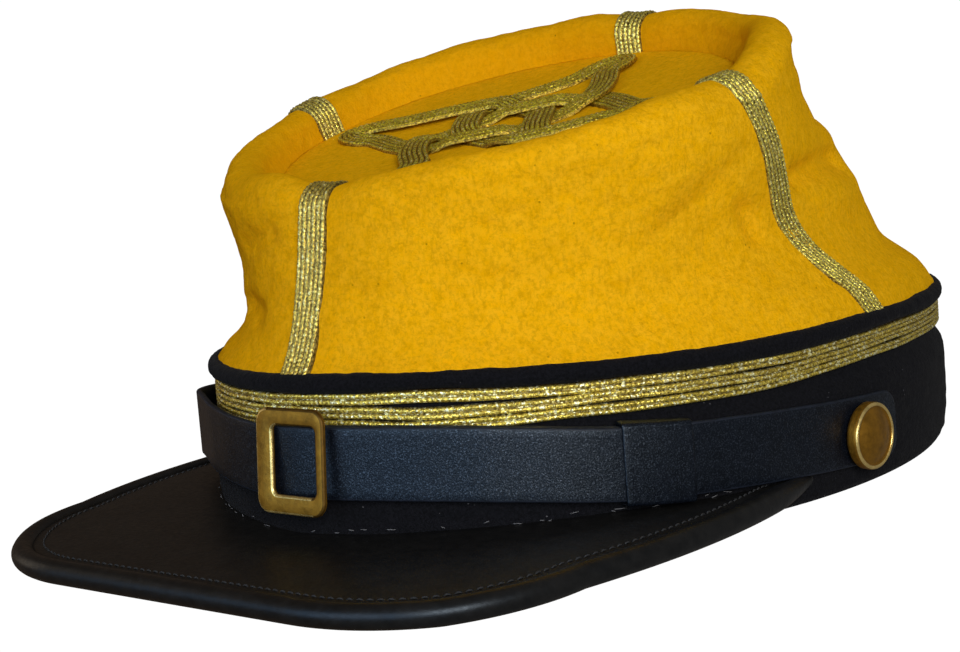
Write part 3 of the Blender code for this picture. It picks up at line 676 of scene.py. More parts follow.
def smooth_object(name, points, faces, materials, picked=None):
    """A smooth mesh through points of the cap's frame; picked gives the material of each face."""
    mesh = bpy.data.meshes.new(name)
    mesh.from_pydata(to_world(points).tolist(), [], faces)
    mesh.polygons.foreach_set("use_smooth", np.ones(len(faces), bool))
    if picked is not None:
        mesh.polygons.foreach_set("material_index", picked)
    for made in materials:
        mesh.materials.append(made)
    mesh.update()
    return new_object(name, mesh)


def grid_object(name, points, wraps, materials, slots=None, caps=False):
    """A smooth mesh over a grid of points; slots gives the material of each column or quad."""
    rows, columns = points.shape[:2]
    steps = [np.arange(count if wrap else count - 1) for count, wrap in zip((rows, columns), wraps)]
    i, j = (part.reshape(-1) for part in np.meshgrid(*steps, indexing="ij"))
    i2, j2 = (i + 1) % rows, (j + 1) % columns
    quads = np.stack([i * columns + j, i2 * columns + j, i2 * columns + j2, i * columns + j2], -1).tolist()
    faces = [tuple(quad) for quad in quads]
    if caps:
        faces.append(tuple(range(columns))[::-1])
        faces.append(tuple(range((rows - 1) * columns, rows * columns)))
    picked = None
    if slots is not None:
        table = np.atleast_2d(slots)
        picked = np.zeros(len(faces), np.int32)
        picked[: len(quads)] = table[i % len(table), j]
    return smooth_object(name, points.reshape(-1, 3), faces, materials, picked)


def piece(node, name, points, wraps, materials, **options):
    """A grid mesh that rides with the cap and stands for a node of the frame, which it hides."""
    obj = grid_object(name, points, wraps, materials, **options)
    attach(obj, "root")
    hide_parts(node)
    return obj


def shade(colour, factor):
    return tuple(min(max(part * factor, 0.0), 1.0) for part in colour)


def mixed(one, two, share):
    return tuple(a + (b - a) * share for a, b in zip(one, two))


class Shader:
    """A Principled material that is built up node by node."""

    def __init__(self, name, colour, roughness, metallic=0.0):
        self.material = bpy.data.materials.new(name)
        self.material.use_nodes = True
        self.tree = self.material.node_tree
        self.main = self.tree.nodes["Principled BSDF"]
        self.put("Base Color", (*colour, 1.0))
        self.put("Roughness", roughness)
        self.put("Metallic", metallic)
        self.where = self.tree.nodes.new("ShaderNodeTexCoord").outputs["Object"]

    def put(self, socket, value):
        """Give one of the material's sockets a value, or the output of a node."""
        self.fill(self.main.inputs[socket], value)

    def fill(self, socket, value):
        if isinstance(value, bpy.types.NodeSocket):
            self.tree.links.new(value, socket)
        else:
            socket.default_value = value

    def add(self, kind, **values):
        """A new node with values on its sockets; underscores in their names stand for spaces."""
        node = self.tree.nodes.new(kind)
        for name, value in values.items():
            self.fill(node.inputs[name.replace("_", " ")], value)
        return node

    def noise(self, scale, detail=3.0, roughness=0.6, stretch=None):
        where = self.where
        if stretch:
            where = self.add("ShaderNodeMapping", Scale=stretch, Vector=where).outputs["Vector"]
        node = self.add("ShaderNodeTexNoise", Scale=scale, Detail=detail, Roughness=roughness, Vector=where)
        return node.outputs["Fac"]

    def attribute(self, name):
        node = self.add("ShaderNodeAttribute")
        node.attribute_name = name
        return node.outputs["Fac"]

    def ramp(self, value, low, high, out=(0.0, 1.0)):
        """Stretch the range from low to high to the range out."""
        ends = {"From_Min": low, "From_Max": high, "To_Min": out[0], "To_Max": out[1]}
        return self.add("ShaderNodeMapRange", Value=value, **ends).outputs["Result"]

    def patches(self, low, high, out=(0.0, 1.0), **noise):
        """Noise whose range from low to high is stretched to the range out."""
        return self.ramp(self.noise(**noise), low, high, out)

    def specks(self, scale, size):
        """Small round specks: 1 inside a speck and 0 elsewhere."""
        node = self.add("ShaderNodeTexVoronoi", Scale=scale, Vector=self.where)
        return self.ramp(node.outputs["Distance"], size, size * SPECK_CORE)

    def blend(self, factor, one, two):
        """Mix of two colours, each a colour or a socket."""
        node = self.add("ShaderNodeMix")
        node.data_type = "RGBA"
        self.fill(node.inputs["Factor"], factor)
        for socket, value in zip(node.inputs[6:8], (one, two)):
            self.fill(socket, value if isinstance(value, bpy.types.NodeSocket) else (*value, 1.0))
        return node.outputs[2]

    def times(self, one, two):
        node = self.add("ShaderNodeMath")
        node.operation = "MULTIPLY"
        for socket, value in zip(node.inputs, (one, two)):
            self.fill(socket, value)
        return node.outputs[0]

    def bump(self, heights, depth, strength=1.0):
        """Chain of bumps from one or more height sockets; depth is in metres."""
        last = None
        for height in heights:
            node = self.add("ShaderNodeBump", Strength=strength, Distance=depth, Height=height)
            if last:
                self.fill(node.inputs["Normal"], last)
            last = node.outputs["Normal"]
        self.put("Normal", last)


def felt_material(look):
    base = tuple(look.felt_colour)
    made = Shader("felt", base, roughness=1.0)
    cloud = made.patches(0.3, 0.7, scale=90.0, detail=4.0)
    tuft = made.patches(0.36, 0.64, scale=420.0, roughness=0.7)
    body = made.blend(cloud, shade(base, 0.86), shade(base, 1.04))
    body = made.blend(tuft, body, mixed(base, PALE_NAP, 0.12))
    for stretch in NAP_STRETCHES:
        fibre = made.patches(0.50, 0.66, scale=1150.0, roughness=0.7, stretch=stretch)
        body = made.blend(made.times(fibre, 0.38), body, shade(base, 0.6))
    # painted shade: inside the rolled rim the felt is blended halfway to a darker orange, as if lit by bounce
    # light, which also half covers its mottling
    body = made.blend(made.times(made.attribute(INSIDE), 0.5), body, INSIDE_SHADE_COLOUR)
    strewn = made.patches(0.52, 0.6, scale=60.0, detail=2.0)
    specks = made.times(made.specks(scale=260.0, size=0.085), strewn)
    made.put("Base Color", made.blend(made.times(specks, 0.6), body, shade(base, 0.25)))
    made.put("Sheen Weight", look.fuzz)
    made.put("Sheen Roughness", 0.5)
    made.put("Sheen Tint", (*shade(base, 1.2), 1.0))
    made.put("Specular IOR Level", 0.04)
    made.put("Specular Tint", (*base, 1.0))
    made.bump([made.noise(scale=420.0), made.noise(scale=1700.0, roughness=0.7)], 0.00035, look.nap)
    return made.material


def wool_material(look):
    base = tuple(look.wool_colour)
    made = Shader("wool", base, roughness=1.0)
    grain = made.patches(0.35, 0.65, scale=1600.0, detail=4.0, roughness=0.75)
    body = made.blend(grain, shade(base, 0.5), shade(base, 1.8))
    strewn = made.patches(0.56, 0.62, scale=150.0, detail=2.0)
    lint = made.times(made.specks(scale=520.0, size=0.10), strewn)
    made.put("Base Color", made.blend(made.times(lint, 0.5), body, LINT_COLOUR))
    made.put("Sheen Weight", 0.018)
    made.put("Sheen Roughness", 0.4)
    made.put("Specular IOR Level", 0.1)
    made.bump([made.noise(scale=500.0), made.noise(scale=1500.0, roughness=0.7)], 0.0004, 0.8)
    return made.material


def gold_material(name, colour, highlight=GOLD_HIGHLIGHT, glint=GOLD_GLINT):
    base = tuple(colour)
    made = Shader(name, base, roughness=0.36, metallic=0.65)
    # painted highlight and glints: the lighter threads are mixed with a pale highlight colour, and pale glint
    # patches are laid over the whole colour
    thread = made.patches(0.38, 0.62, scale=1900.0, detail=2.0)
    worn = made.times(made.patches(0.35, 0.65, scale=330.0, detail=2.0), 0.35)
    sparks = made.patches(0.57, 0.66, scale=1150.0, detail=1.0)
    body = made.blend(thread, shade(base, 0.35), mixed(shade(base, 1.6), highlight, 0.25))
    body = made.blend(worn, body, shade(base, 0.6))
    made.put("Base Color", made.blend(sparks, body, glint))
    made.put("Roughness", made.patches(0.3, 0.7, out=(0.18, 0.45), scale=1500.0, detail=1.0))
    made.bump([made.noise(scale=2300.0, detail=2.0)], 0.00022)
    return made.material


def cord_golds(name, colour, crest):
    """Materials of a band of cords: its threads, painted shade beside its grooves and a painted highlight on
    the crests of its ribs.
    """
    return [
        gold_material(name, colour, crest, crest),
        # painted shade: the gold beside the grooves between ribs is darkened
        gold_material(name + "_groove", shade(colour, 0.25), crest, shade(crest, 0.4)),
        # painted highlight: the crests of the ribs take a paler, brighter gold with pale glints
        gold_material(name + "_crest", crest, crest, CORD_GLINT),
    ]


def leather_material(name, colour, roughness, scale, depth, tint=WHITE, shine=0.25, grain=0.0):
    """Leather with a relief of a scale and depth; grain is how much brighter its fine glints are, which are
    painted highlights in its colour and also raise its specular level.
    """
    base = tuple(colour)
    made = Shader(name, base, roughness)
    body = made.blend(made.patches(0.35, 0.65, scale=300.0), shade(base, 0.75), shade(base, 1.35))
    made.put("Specular IOR Level", shine)
    made.put("Specular Tint", (*tint, 1.0))
    if grain:
        glint = made.noise(scale=3000.0, detail=2.0, roughness=0.7)
        # painted highlights: fine glint patches are made brighter in the colour, and raise the specular level
        # too
        body = made.blend(made.ramp(glint, 0.54, 0.70), body, shade(base, grain))
        made.put("Specular IOR Level", made.ramp(glint, 0.50, 0.70, (shine, shine * grain)))
    made.put("Base Color", body)
    ends = (roughness - 0.07, roughness + 0.09)
    made.put("Roughness", made.patches(0.3, 0.7, out=ends, scale=900.0, roughness=0.7))
    made.bump([made.noise(scale), made.noise(scale=60.0, detail=2.0)], depth, 0.6)
    return made.material


def brass_material(name, colour, roughness):
    base = tuple(colour)
    made = Shader(name, base, roughness, metallic=0.8)
    tarnish = made.patches(0.4, 0.68, scale=420.0, detail=4.0, roughness=0.7)
    made.put("Base Color", made.blend(tarnish, base, shade(base, 0.62)))
    made.put("Roughness", made.patches(0.3, 0.7, out=(roughness - 0.08, roughness + 0.12), scale=700.0))
    made.bump([made.noise(scale=900.0)], 0.00008, 0.6)
    return made.material


def cord_height(across, along, width, cords, relief):
    """Height of a band of flat cords: each has two ribs wrapped in slanting thread."""
    place = np.clip(across / width + 0.5, 0.0, CORD_LAST) * 2 * cords
    rib = np.floor(place)
    inside = place - rib
    dome = np.sqrt(np.clip(1.0 - (2.0 * inside - 1.0) ** 2, 0.0, 1.0))
    first = rib % 2 == 0
    climb = (CORD_SEAM - CORD_EDGE) * inside
    groove = np.where(first, CORD_EDGE + climb, CORD_SEAM - climb)
    lean = np.where(first, 1.0, -1.0) * (inside - 0.5)
    wrap = np.sin(2.0 * math.pi * (along / CORD_PITCH + lean * CORD_SLANT))
    return relief * (groove + (1.0 - groove) * dome + CORD_WRAP * wrap * dome)


def across_samples(width, cords, fine):
    """Positions across a band of cords, with the grooves between ribs among them."""
    return np.linspace(-0.5, 0.5, 2 * cords * fine + 1) * width


def cord_slots(cords, fine, crest=()):
    """Material of each column of a band of cords: 1 beside a groove, for painted shade, 2 on a crest, for a
    painted highlight, and 0 elsewhere.
    """
    place = np.arange(2 * cords * fine) % fine
    slots = np.where((place == 0) | (place == fine - 1), 1, 0)
    slots = np.where(np.isin(place, crest), 2, slots)
    return np.concatenate([slots, np.ones(3, int)])


class KepiCrownLook(bpy.types.PropertyGroup):
    """Felt of the crown"""

    felt_colour: FloatVectorProperty(
        name="Felt colour", description="Colour of the crown's felt", subtype="COLOR", size=3, min=0.0,
        max=1.0, default=(0.90, 0.455, 0.0024))
    fuzz: FloatProperty(
        name="Fuzz", description="How strongly the felt's nap catches light at its edges", subtype="FACTOR",
        min=0.0, max=1.0, default=0.25)
    nap: FloatProperty(
        name="Nap", description="Strength of the felt's fine relief", subtype="FACTOR", min=0.0, max=1.0,
        default=0.75)
    ripple: FloatProperty(
        name="Ripple", description="Height of the soft unevenness of the felt", subtype="DISTANCE",
        unit="LENGTH", min=0.0, max=0.002, default=0.00022)


class KepiBraidLook(bpy.types.PropertyGroup):
    """Gold braid of the band, the stripes and the knot"""

    gold_colour: FloatVectorProperty(
        name="Gold colour", description="Colour of the gold braid", subtype="COLOR", size=3, min=0.0, max=1.0,
        default=(0.74, 0.50, 0.055))
    relief: FloatProperty(
        name="Relief", description="Height of the cords over the cloth", subtype="DISTANCE", unit="LENGTH",
        min=0.0005, max=0.0018, default=0.00125)


class KepiBandLook(bpy.types.PropertyGroup):
    """Wool of the band and the welt"""

    wool_colour: FloatVectorProperty(
        name="Wool colour", description="Colour of the band and the welt", subtype="COLOR", size=3, min=0.0,
        max=1.0, default=(0.0042, 0.0042, 0.0058))


class KepiLeatherLook(bpy.types.PropertyGroup):
    """Leather of the visor and the chin strap"""

    strap_colour: FloatVectorProperty(
        name="Strap colour", description="Colour of the chin strap", subtype="COLOR", size=3, min=0.0,
        max=1.0, default=(0.0024, 0.0034, 0.0062))
    visor_colour: FloatVectorProperty(
        name="Visor colour", description="Colour of the visor", subtype="COLOR", size=3, min=0.0, max=1.0,
        default=(0.0075, 0.0070, 0.0066))
    thread_colour: FloatVectorProperty(
        name="Thread colour", description="Colour of the visor's stitches", subtype="COLOR", size=3, min=0.0,
        max=1.0, default=(0.013, 0.0132, 0.015))
    seam_colour: FloatVectorProperty(
        name="Seam colour", description="Colour of the loose threads where the visor meets the band",
        subtype="COLOR", size=3, min=0.0, max=1.0, default=(0.11, 0.11, 0.12))
    stitch_pitch: FloatProperty(
        name="Stitch pitch", description="Distance from one visor stitch to the next", subtype="DISTANCE",
        unit="LENGTH", min=0.0015, max=0.01, default=0.0021)


class KepiBrassLook(bpy.types.PropertyGroup):
    """Brass of the buckle and the buttons"""

    brass_colour: FloatVectorProperty(
        name="Brass colour", description="Colour of the buckle and the buttons", subtype="COLOR", size=3,
        min=0.0, max=1.0, default=(0.36, 0.175, 0.016))
    # the rubbed brass is wear with a painted highlight, on the buckle's edges and the buttons' rims
    wear_highlight_colour: FloatVectorProperty(
        name="Wear colour", description="Colour of the buckle's rubbed edges", subtype="COLOR", size=3,
        min=0.0, max=1.0, default=(0.85, 0.62, 0.22))
    button_sides: IntProperty(
        name="Button sides", description="Number of faces round a button", min=24, max=256, default=96)


class KepiStageLook(bpy.types.PropertyGroup):
    """Lights and backdrop"""

    key_power: FloatProperty(
        name="Key light", description="Power of the soft light beside the camera", subtype="POWER",
        unit="POWER", min=0.0, default=8.0)
    window_power: FloatProperty(
        name="Window", description="Power of the wide cool glint on leather and brass", subtype="POWER",
        unit="POWER", min=0.0, default=13.0)
    side_power: FloatProperty(
        name="Side light", description="Power of the warm light at the wearer's right", subtype="POWER",
        unit="POWER", min=0.0, default=0.9)
    front_power: FloatProperty(
        name="Front light", description="Power of the light in front of the visor", subtype="POWER",
        unit="POWER", min=0.0, default=2.2)
    fill_power: FloatProperty(
        name="Fill light", description="Power of the light at the wearer's left", subtype="POWER",
        unit="POWER", min=0.0, default=0.75)
    ambient: FloatProperty(
        name="Ambient", description="Strength of the light from all round", min=0.0, default=0.16)


class KEPI_OT_crown(bpy.types.Operator):
    """Build the felt crown: the side with its rolled rim, and the sunk top"""

    bl_idname = "kepi.crown"
    bl_label = "Crown"

    def execute(self, context):
        look = context.scene.kepi_crown
        felt = felt_material(look)
        azimuth = np.linspace(0.0, 360.0, CROWN_TURNS, endpoint=False)
        parts = [np.linspace(start, start + 1.0, count)[:-1] for start, count in enumerate(CROWN_ROWS)]
        row = np.concatenate([*parts, [len(parts)]])
        rows = len(row)
        face = crown_points(azimuth[:, None], row[None, :])
        normal = surface_normals(face)
        shape = (CROWN_TURNS, 2 * rows)
        rough = look.ripple / MM * unevenness(FELT_LUMPS, shape, rows) + unevenness(FELT_FUZZ, shape, rows)
        outer = face + normal * rough[..., None]
        picked = np.linspace(0, rows - 1, CROWN_INNER_ROWS).astype(int)[::-1]
        inner = (face - normal * FELT_THICKNESS)[:, picked]
        points = np.concatenate([outer, inner], 1)
        side = piece("crown_side", "crown_side_felt", points, CLOSED, [felt])
        # share of each point inside the rolled rim, where the felt gets painted shade and bounce light
        share = np.clip((row - INSIDE_START) / INSIDE_BLEND, 0.0, 1.0)
        share = np.tile(np.concatenate([share, np.zeros(CROWN_INNER_ROWS)]), CROWN_TURNS)
        side.data.attributes.new(INSIDE, "FLOAT", "POINT").data.foreach_set("value", share.astype(np.float32))

        turn = full_turn(TOP_TURNS)[:, None]
        share = np.concatenate([[TOP_MIDDLE], np.linspace(TOP_FIRST_RING, 1.0, TOP_RINGS)])[None, :]
        rings = share.shape[1]
        x = (TOP_HALF_WIDTH + TOP_TUCK) * np.sin(turn) * share
        y = -(TOP_HALF_LENGTH + TOP_TUCK) * np.cos(turn) * share
        calm = np.clip(share * TOP_CALM, 0.0, 1.0)
        shape = (TOP_TURNS, 2 * rings)
        swell = np.clip(unevenness(TOP_SWELL, shape, rings) * calm, *TOP_SWELL_LIMITS) * TOP_SWELL_SHARE
        dish = top_sag(x, y) - TOP_DEPTH
        upper = rim_frame(x, y, dish + swell + unevenness(TOP_FUZZ, shape, rings) * calm)
        lower = rim_frame(x, y, dish - FELT_THICKNESS)[:, ::-TOP_UNDER_STEP]
        piece("crown_top", "crown_top_felt", np.concatenate([upper, lower], 1), ROUND_CAP, [felt])
        return {"FINISHED"}


def top_sag(x, y):
    """Height of the sunk top over its edge: it sags to its middle."""
    return -TOP_SAG * np.clip(1.0 - (x / TOP_HALF_WIDTH) ** 2 - (y / TOP_HALF_LENGTH) ** 2, 0.0, None)


def stripe_points(azimuth, relief):
    """Section grid of one stripe: it follows the crown's face from the welt over the rim to the top."""
    guide = np.linspace(0.0, STRIPE_END, STRIPE_GUIDE)
    gone = travelled(crown_points(float(azimuth), guide))
    along = np.linspace(0.0, gone[-1], int(gone[-1] / CORD_STEP))
    row = np.interp(along, gone, guide)
    here = crown_points(float(azimuth), row)
    beside = crown_points(azimuth + 1.0, row) - crown_points(azimuth - 1.0, row)
    degrees = 2.0 / np.linalg.norm(beside, axis=1)
    normal = unit(np.cross(beside, np.gradient(here, axis=0)))
    reach = NORMAL_SPAN // 2
    padded = np.pad(normal, ((reach, reach), (0, 0)), "edge")
    kernel = np.ones(NORMAL_SPAN) / NORMAL_SPAN
    normal = unit(np.stack([np.convolve(part, kernel, "valid") for part in padded.T], -1))[:, None]
    (sway, sway_length), (quiver, quiver_length) = STRIPE_SWAYS
    wobble = sway * np.sin(along / sway_length + azimuth) + quiver * np.sin(along / quiver_length)
    across = across_samples(STRIPE_WIDTH, CORDS, CORD_FINE)
    turned = azimuth + (across[None, :] + wobble[:, None]) * degrees[:, None]
    base = crown_points(turned, row[:, None])
    height = cord_height(across[None, :], along[:, None], STRIPE_WIDTH, CORDS, relief)
    top = base + normal * (height - STRIPE_SINK)[..., None]
    edges = base[:, [-1, 0]] - normal * (STRIPE_SINK + STRIPE_SKIRT)
    return np.concatenate([top, edges], 1)


def knot_nodes():
    """Points of the knot's middle line, each with its share of the rise, for all four quarters."""
    strand = list(KNOT_PATH) + [(y, x, 1.0 - rise) for x, y, rise in reversed(KNOT_PATH[1:-1])]
    nodes = []
    for quarter in range(4):
        for x, y, rise in strand:
            for _ in range(quarter):
                x, y = -y, x
            side, back, front = (max(part, 0.0) / KNOT_SWING_REACH for part in (-x, y, -y))
            x += KNOT_SWING_BACK * back**KNOT_SWING_BEND + KNOT_SWING_FRONT * front**KNOT_SWING_BEND
            y = y * KNOT_SQUEEZE - KNOT_SWING_SIDE * side**KNOT_SWING_BEND
            nodes.append((x, y, rise))
    return np.array(nodes)


def knot_points(relief):
    """Section grid of the knot's closed band of three cords."""
    nodes = knot_nodes()
    four = [np.roll(nodes, -step, 0) for step in (-1, 0, 1, 2)]
    shares = np.linspace(0.0, 1.0, KNOT_STEPS, endpoint=False)
    path = np.stack([spline(*four, share) for share in shares], 1).reshape(-1, 3)
    looped = np.concatenate([path, path[:1]])
    gone = travelled(looped[:, :2])
    along = np.linspace(0.0, gone[-1], int(gone[-1] / CORD_STEP), endpoint=False)
    line = smoothed(at_lengths(looped, gone, along), KNOT_SMOOTHING)
    rise = smoothed(line[:, 2], KNOT_RISE_SMOOTHING)[:, None]
    line = line[:, :2]
    before, after = np.roll(line, KNOT_SPAN, 0), np.roll(line, -KNOT_SPAN, 0)
    ahead = (after - before) / (2.0 * KNOT_SPAN)
    bend = (after + before - 2.0 * line) / KNOT_SPAN**2
    cross = ahead[:, 0] * bend[:, 1] - ahead[:, 1] * bend[:, 0]
    curve = (cross / (np.linalg.norm(ahead, axis=1) ** 3 + SMALL))[:, None]
    side = unit(np.stack([-ahead[:, 1], ahead[:, 0]], -1))[:, None]
    across = across_samples(KNOT_WIDTH, CORDS, CORD_FINE)[None, :]
    half = KNOT_WIDTH / 2
    room = np.minimum(1.0, KNOT_BEND_SHARE / (np.abs(curve) + STRAIGHT) / half)
    offset = across * np.where(across * np.sign(curve) > 0.0, room, 1.0)
    plan = line[:, None] + side * offset[..., None] + np.array([KNOT_CENTRE_X, KNOT_CENTRE_Y])
    height = KNOT_FLATNESS * cord_height(across, along[:, None], KNOT_WIDTH, CORDS, relief)
    base = -TOP_DEPTH + KNOT_LIFT + KNOT_RISE * rise
    drape = KNOT_DRAPE * (np.abs(across) / half) ** 2
    ends = plan[:, [-1, 0]]
    top = rim_frame(plan[..., 0], plan[..., 1], base + height - drape + top_sag(plan[..., 0], plan[..., 1]))
    foot = rim_frame(ends[..., 0], ends[..., 1], base - KNOT_SKIRT + top_sag(ends[..., 0], ends[..., 1]))
    return np.concatenate([top, foot], 1)


class KEPI_OT_braid(bpy.types.Operator):
    """Build the gold braid: three rows round the band, four stripes and the knot"""

    bl_idname = "kepi.braid"
    bl_label = "Gold braid"

    def execute(self, context):
        look = context.scene.kepi_braid
        gold = tuple(look.gold_colour)
        relief = look.relief / MM
        slots = cord_slots(CORDS, CORD_FINE, CORD_CRESTS)
        for name, azimuth, painted_light in STRIPES:
            # painted light and shade: each stripe's gold is made darker or lighter by its factor
            golds = cord_golds("gold_stripe_" + name, shade(gold, painted_light), shade(STRIPE_CREST_HIGHLIGHT, painted_light))
            points = stripe_points(azimuth, relief)
            piece("stripe_" + name, "braid_stripe_" + name, points, ROUND_PART, golds, slots=slots, caps=True)
        knot_colour = tuple(part * tint for part, tint in zip(gold, KNOT_TINT))
        golds = cord_golds("gold_knot", knot_colour, KNOT_CREST_HIGHLIGHT)
        piece("crown_knot", "braid_knot", knot_points(relief), CLOSED, golds, slots=slots)

        upper = gold_material("gold_braid", gold)
        lowest = gold_material("gold_braid_low", mixed(gold, LOW_BRAID_COLOUR, 0.4))
        # painted shade: the columns beside the grooves between ribs take a darkened gold
        groove = gold_material("gold_groove", shade(gold, 0.22))
        turn = full_turn(BRAID_TURNS)
        line = oval(turn)[0]
        gone = travelled(np.concatenate([line, line[:1]]))
        along = gone[:-1] * (CORD_PITCH * round(gone[-1] / CORD_PITCH) / gone[-1])
        across = across_samples(BRAID_HEIGHT, 1, BRAID_FINE)
        slots = cord_slots(1, BRAID_FINE)
        seam, stretch, gap = curve_through(SEAM_LINE, np.degrees(turn)).T
        for number in range(BRAID_ROWS):
            down = (BRAID_HEIGHT / 2 + BRAID_PITCH * number) * stretch + gap * min(number, 1)
            middle = BRAID_TOP + seam - down
            for reach, waves, more, shift in BRAID_SWAYS:
                middle = middle + reach * np.sin(turn * (waves + more * number) + shift * number)
            level = middle[:, None] + across[None, :] * stretch[:, None]
            wrapped = along[:, None] + BRAID_SHIFT * number
            height = cord_height(across[None, :], wrapped, BRAID_HEIGHT, 1, relief)
            top = wall_points(turn[:, None], BRAID_BASE + height + BRAID_LIFT, level)
            back = wall_points(turn[:, None], BRAID_BASE, level[:, [-1, 0]])
            points = np.concatenate([top, back], 1)
            golds = [lowest if number == BRAID_ROWS - 1 else upper, groove]
            row = "%d" % (number + 1)
            piece("band_braid_" + row, "braid_row_" + row, points, CLOSED, golds, slots=slots)
        return {"FINISHED"}


class KEPI_OT_band(bpy.types.Operator):
    """Build the wool band and the welt above it"""

    bl_idname = "kepi.band"
    bl_label = "Band and welt"

    def execute(self, context):
        wool = wool_material(context.scene.kepi_band)
        turn = full_turn(BAND_TURNS)[:, None]
        foot = np.linspace(0.0, BAND_FOOT_TOP, BAND_FOOT_ROWS)[:-1]
        height = np.concatenate([foot, np.linspace(BAND_FOOT_TOP, BAND_OUTSIDE[-1][0], BAND_ROWS)])
        rows = len(height)
        outward = curve_through(BAND_OUTSIDE, height)[:, 0]
        rough = unevenness(BAND_FUZZ, (BAND_TURNS, BAND_NOISE_ROWS), rows)
        rough[:, :2] = 0.0  # its foot stays even
        seam = curve_through(SEAM_LINE, np.degrees(turn[:, 0]))[:, :1]
        level = height + seam * np.clip((height - BAND_STEP_Z) / (BAND_TOP_Z - BAND_STEP_Z), 0.0, None)
        outer = wall_points(turn, outward[None, :] + rough, level)
        picked = np.linspace(rows - 1, 0, BAND_INNER_ROWS).astype(int)
        inward = np.minimum(outward[picked], BAND_SWELL_LIMIT) - BAND_THICKNESS
        inward[-1] = BAND_FOOT_INSIDE
        inner = wall_points(turn, inward[None, :], level[:, picked])
        points = np.concatenate([outer, inner], 1)
        share = np.clip(1.0 - points[..., 2] / BAND_FOOT_BLEND, 0.0, 1.0)
        points[..., 2] += (points[..., 1] - REST_REAR) * math.tan(REST_TILT) * share
        piece("band", "band_wool", points[:, ::-1], CLOSED, [wool])

        turn = full_turn(WELT_TURNS)[:, None]
        roll = full_turn(WELT_SIDES)[None, :]
        radius = WELT_RADIUS + unevenness(WELT_FUZZ, (WELT_TURNS, WELT_SIDES))
        seam = curve_through(SEAM_LINE, np.degrees(turn[:, 0]))[:, :1]
        points = wall_points(turn, radius * np.cos(roll), WELT_HEIGHT + seam + radius * np.sin(roll))
        piece("welt", "welt_wool", points, CLOSED, [wool])
        return {"FINISHED"}


def visor_edge():
    """Middle line of the binding from the front to the wearer's left end: its points in plan, their heights,
    the way inward, their shares of the length, and the length."""
    end = oval(np.array(VISOR_END))[0]
    corner = np.array([VISOR_CORNER_X, -VISOR_FRONT])
    side = unit(end - corner)
    opening = math.acos(-side[0])
    cut = VISOR_CORNER_RADIUS / math.tan(opening / 2.0)
    start = corner[0] - cut
    front_x = np.linspace(0.0, start, EDGE_FRONT_POINTS)
    front = np.stack([front_x, np.full(EDGE_FRONT_POINTS, -VISOR_FRONT)], -1)
    centre = np.array([start, VISOR_CORNER_RADIUS - VISOR_FRONT])
    share = np.linspace(0.0, 1.0, EDGE_SIDE_POINTS)[1:]
    angle = -math.pi / 2 + (math.pi - opening) * share
    arc = centre + VISOR_CORNER_RADIUS * np.stack([np.cos(angle), np.sin(angle)], -1)
    leave = corner + side * cut
    share = share[:, None]
    out = np.array([side[1], -side[0]])
    flank = leave + (end - leave) * share + out * (4.0 * VISOR_BULGE * share * (1.0 - share))
    plan = np.concatenate([front, arc, flank])
    gone = travelled(plan)
    half_arc = 0.5 * (gone[len(front) - 1] + gone[len(front) + len(arc) - 1])
    even = np.linspace(0.0, gone[-1], EDGE_STATIONS)
    plan = at_lengths(plan, gone, even)
    u = np.clip((even - half_arc) / (gone[-1] - half_arc), 0.0, 1.0)
    z = VISOR_EDGE_FRONT_Z + (VISOR_EDGE_END_Z - VISOR_EDGE_FRONT_Z) * u
    z = z + 4.0 * VISOR_EDGE_LIFT * u * (1.0 - u) ** 2
    z = z + (plan[:, 1] + VISOR_FRONT) * math.tan(REST_TILT)
    ahead = np.gradient(plan, axis=0)
    ahead[0] = (1.0, 0.0)
    inward = unit(np.stack([-ahead[:, 1], ahead[:, 0]], -1))
    return plan, z, inward, even / gone[-1], gone[-1]


def clear_of_band(points, clearance):
    """Push points outward to the face the visor meets the band on."""
    share = np.hypot(points[..., 0] / (HALF_WIDTH + clearance), points[..., 1] / (HALF_LENGTH + clearance))
    points[..., :2] /= np.minimum(share, 1.0)[..., None]
    return points


def mirrored(points):
    """Stations of the wearer's left half, mirrored to run from end to end."""
    return np.concatenate([points[:0:-1] * np.array([-1.0, 1.0, 1.0]), points])


def visor_span(plan, inward, share, outward):
    """Where the visor's plate starts at the band and ends in the binding, and its height at the band."""
    azimuth = np.degrees(VISOR_END) * share
    root = oval(np.radians(azimuth), outward)[0]
    rim = plan + inward * BINDING_GRIP
    return root, rim, curve_through(VISOR_JOINT, azimuth)[:, 0]


def visor_level(joint, z, t):
    """Height of the visor's upper face: t runs from the band, 0, to the binding, 1."""
    return joint + (z + VISOR_EDGE_STEP - joint) * t + VISOR_ARCH * np.sin(math.pi * t)


def stitch_lines(plan, z, inward, share, pitch):
    """Middle lines of the stitches, five points each, first on the wearer's left and then on the right."""
    inset = plan + inward * STITCH_INSET
    gone = travelled(inset)
    root, rim, joint = visor_span(plan, inward, share, STITCH_ROOT)
    reach = np.linalg.norm(rim - root, axis=1)
    t = 1.0 - (STITCH_INSET - BINDING_GRIP) / np.maximum(reach, 1.0)
    seam = raised(inset, visor_level(joint, z, t))
    lines = []
    for sense in (1.0, -1.0):
        for place in np.arange(pitch / 2, gone[-STITCH_SPARE], pitch):
            line = at_lengths(seam, gone, place + np.linspace(-STITCH_SHARE, STITCH_SHARE, 5) * pitch)
            line[:, 2] += STITCH_HEIGHTS
            line[:, 0] *= sense
            lines.append(line)
    return lines


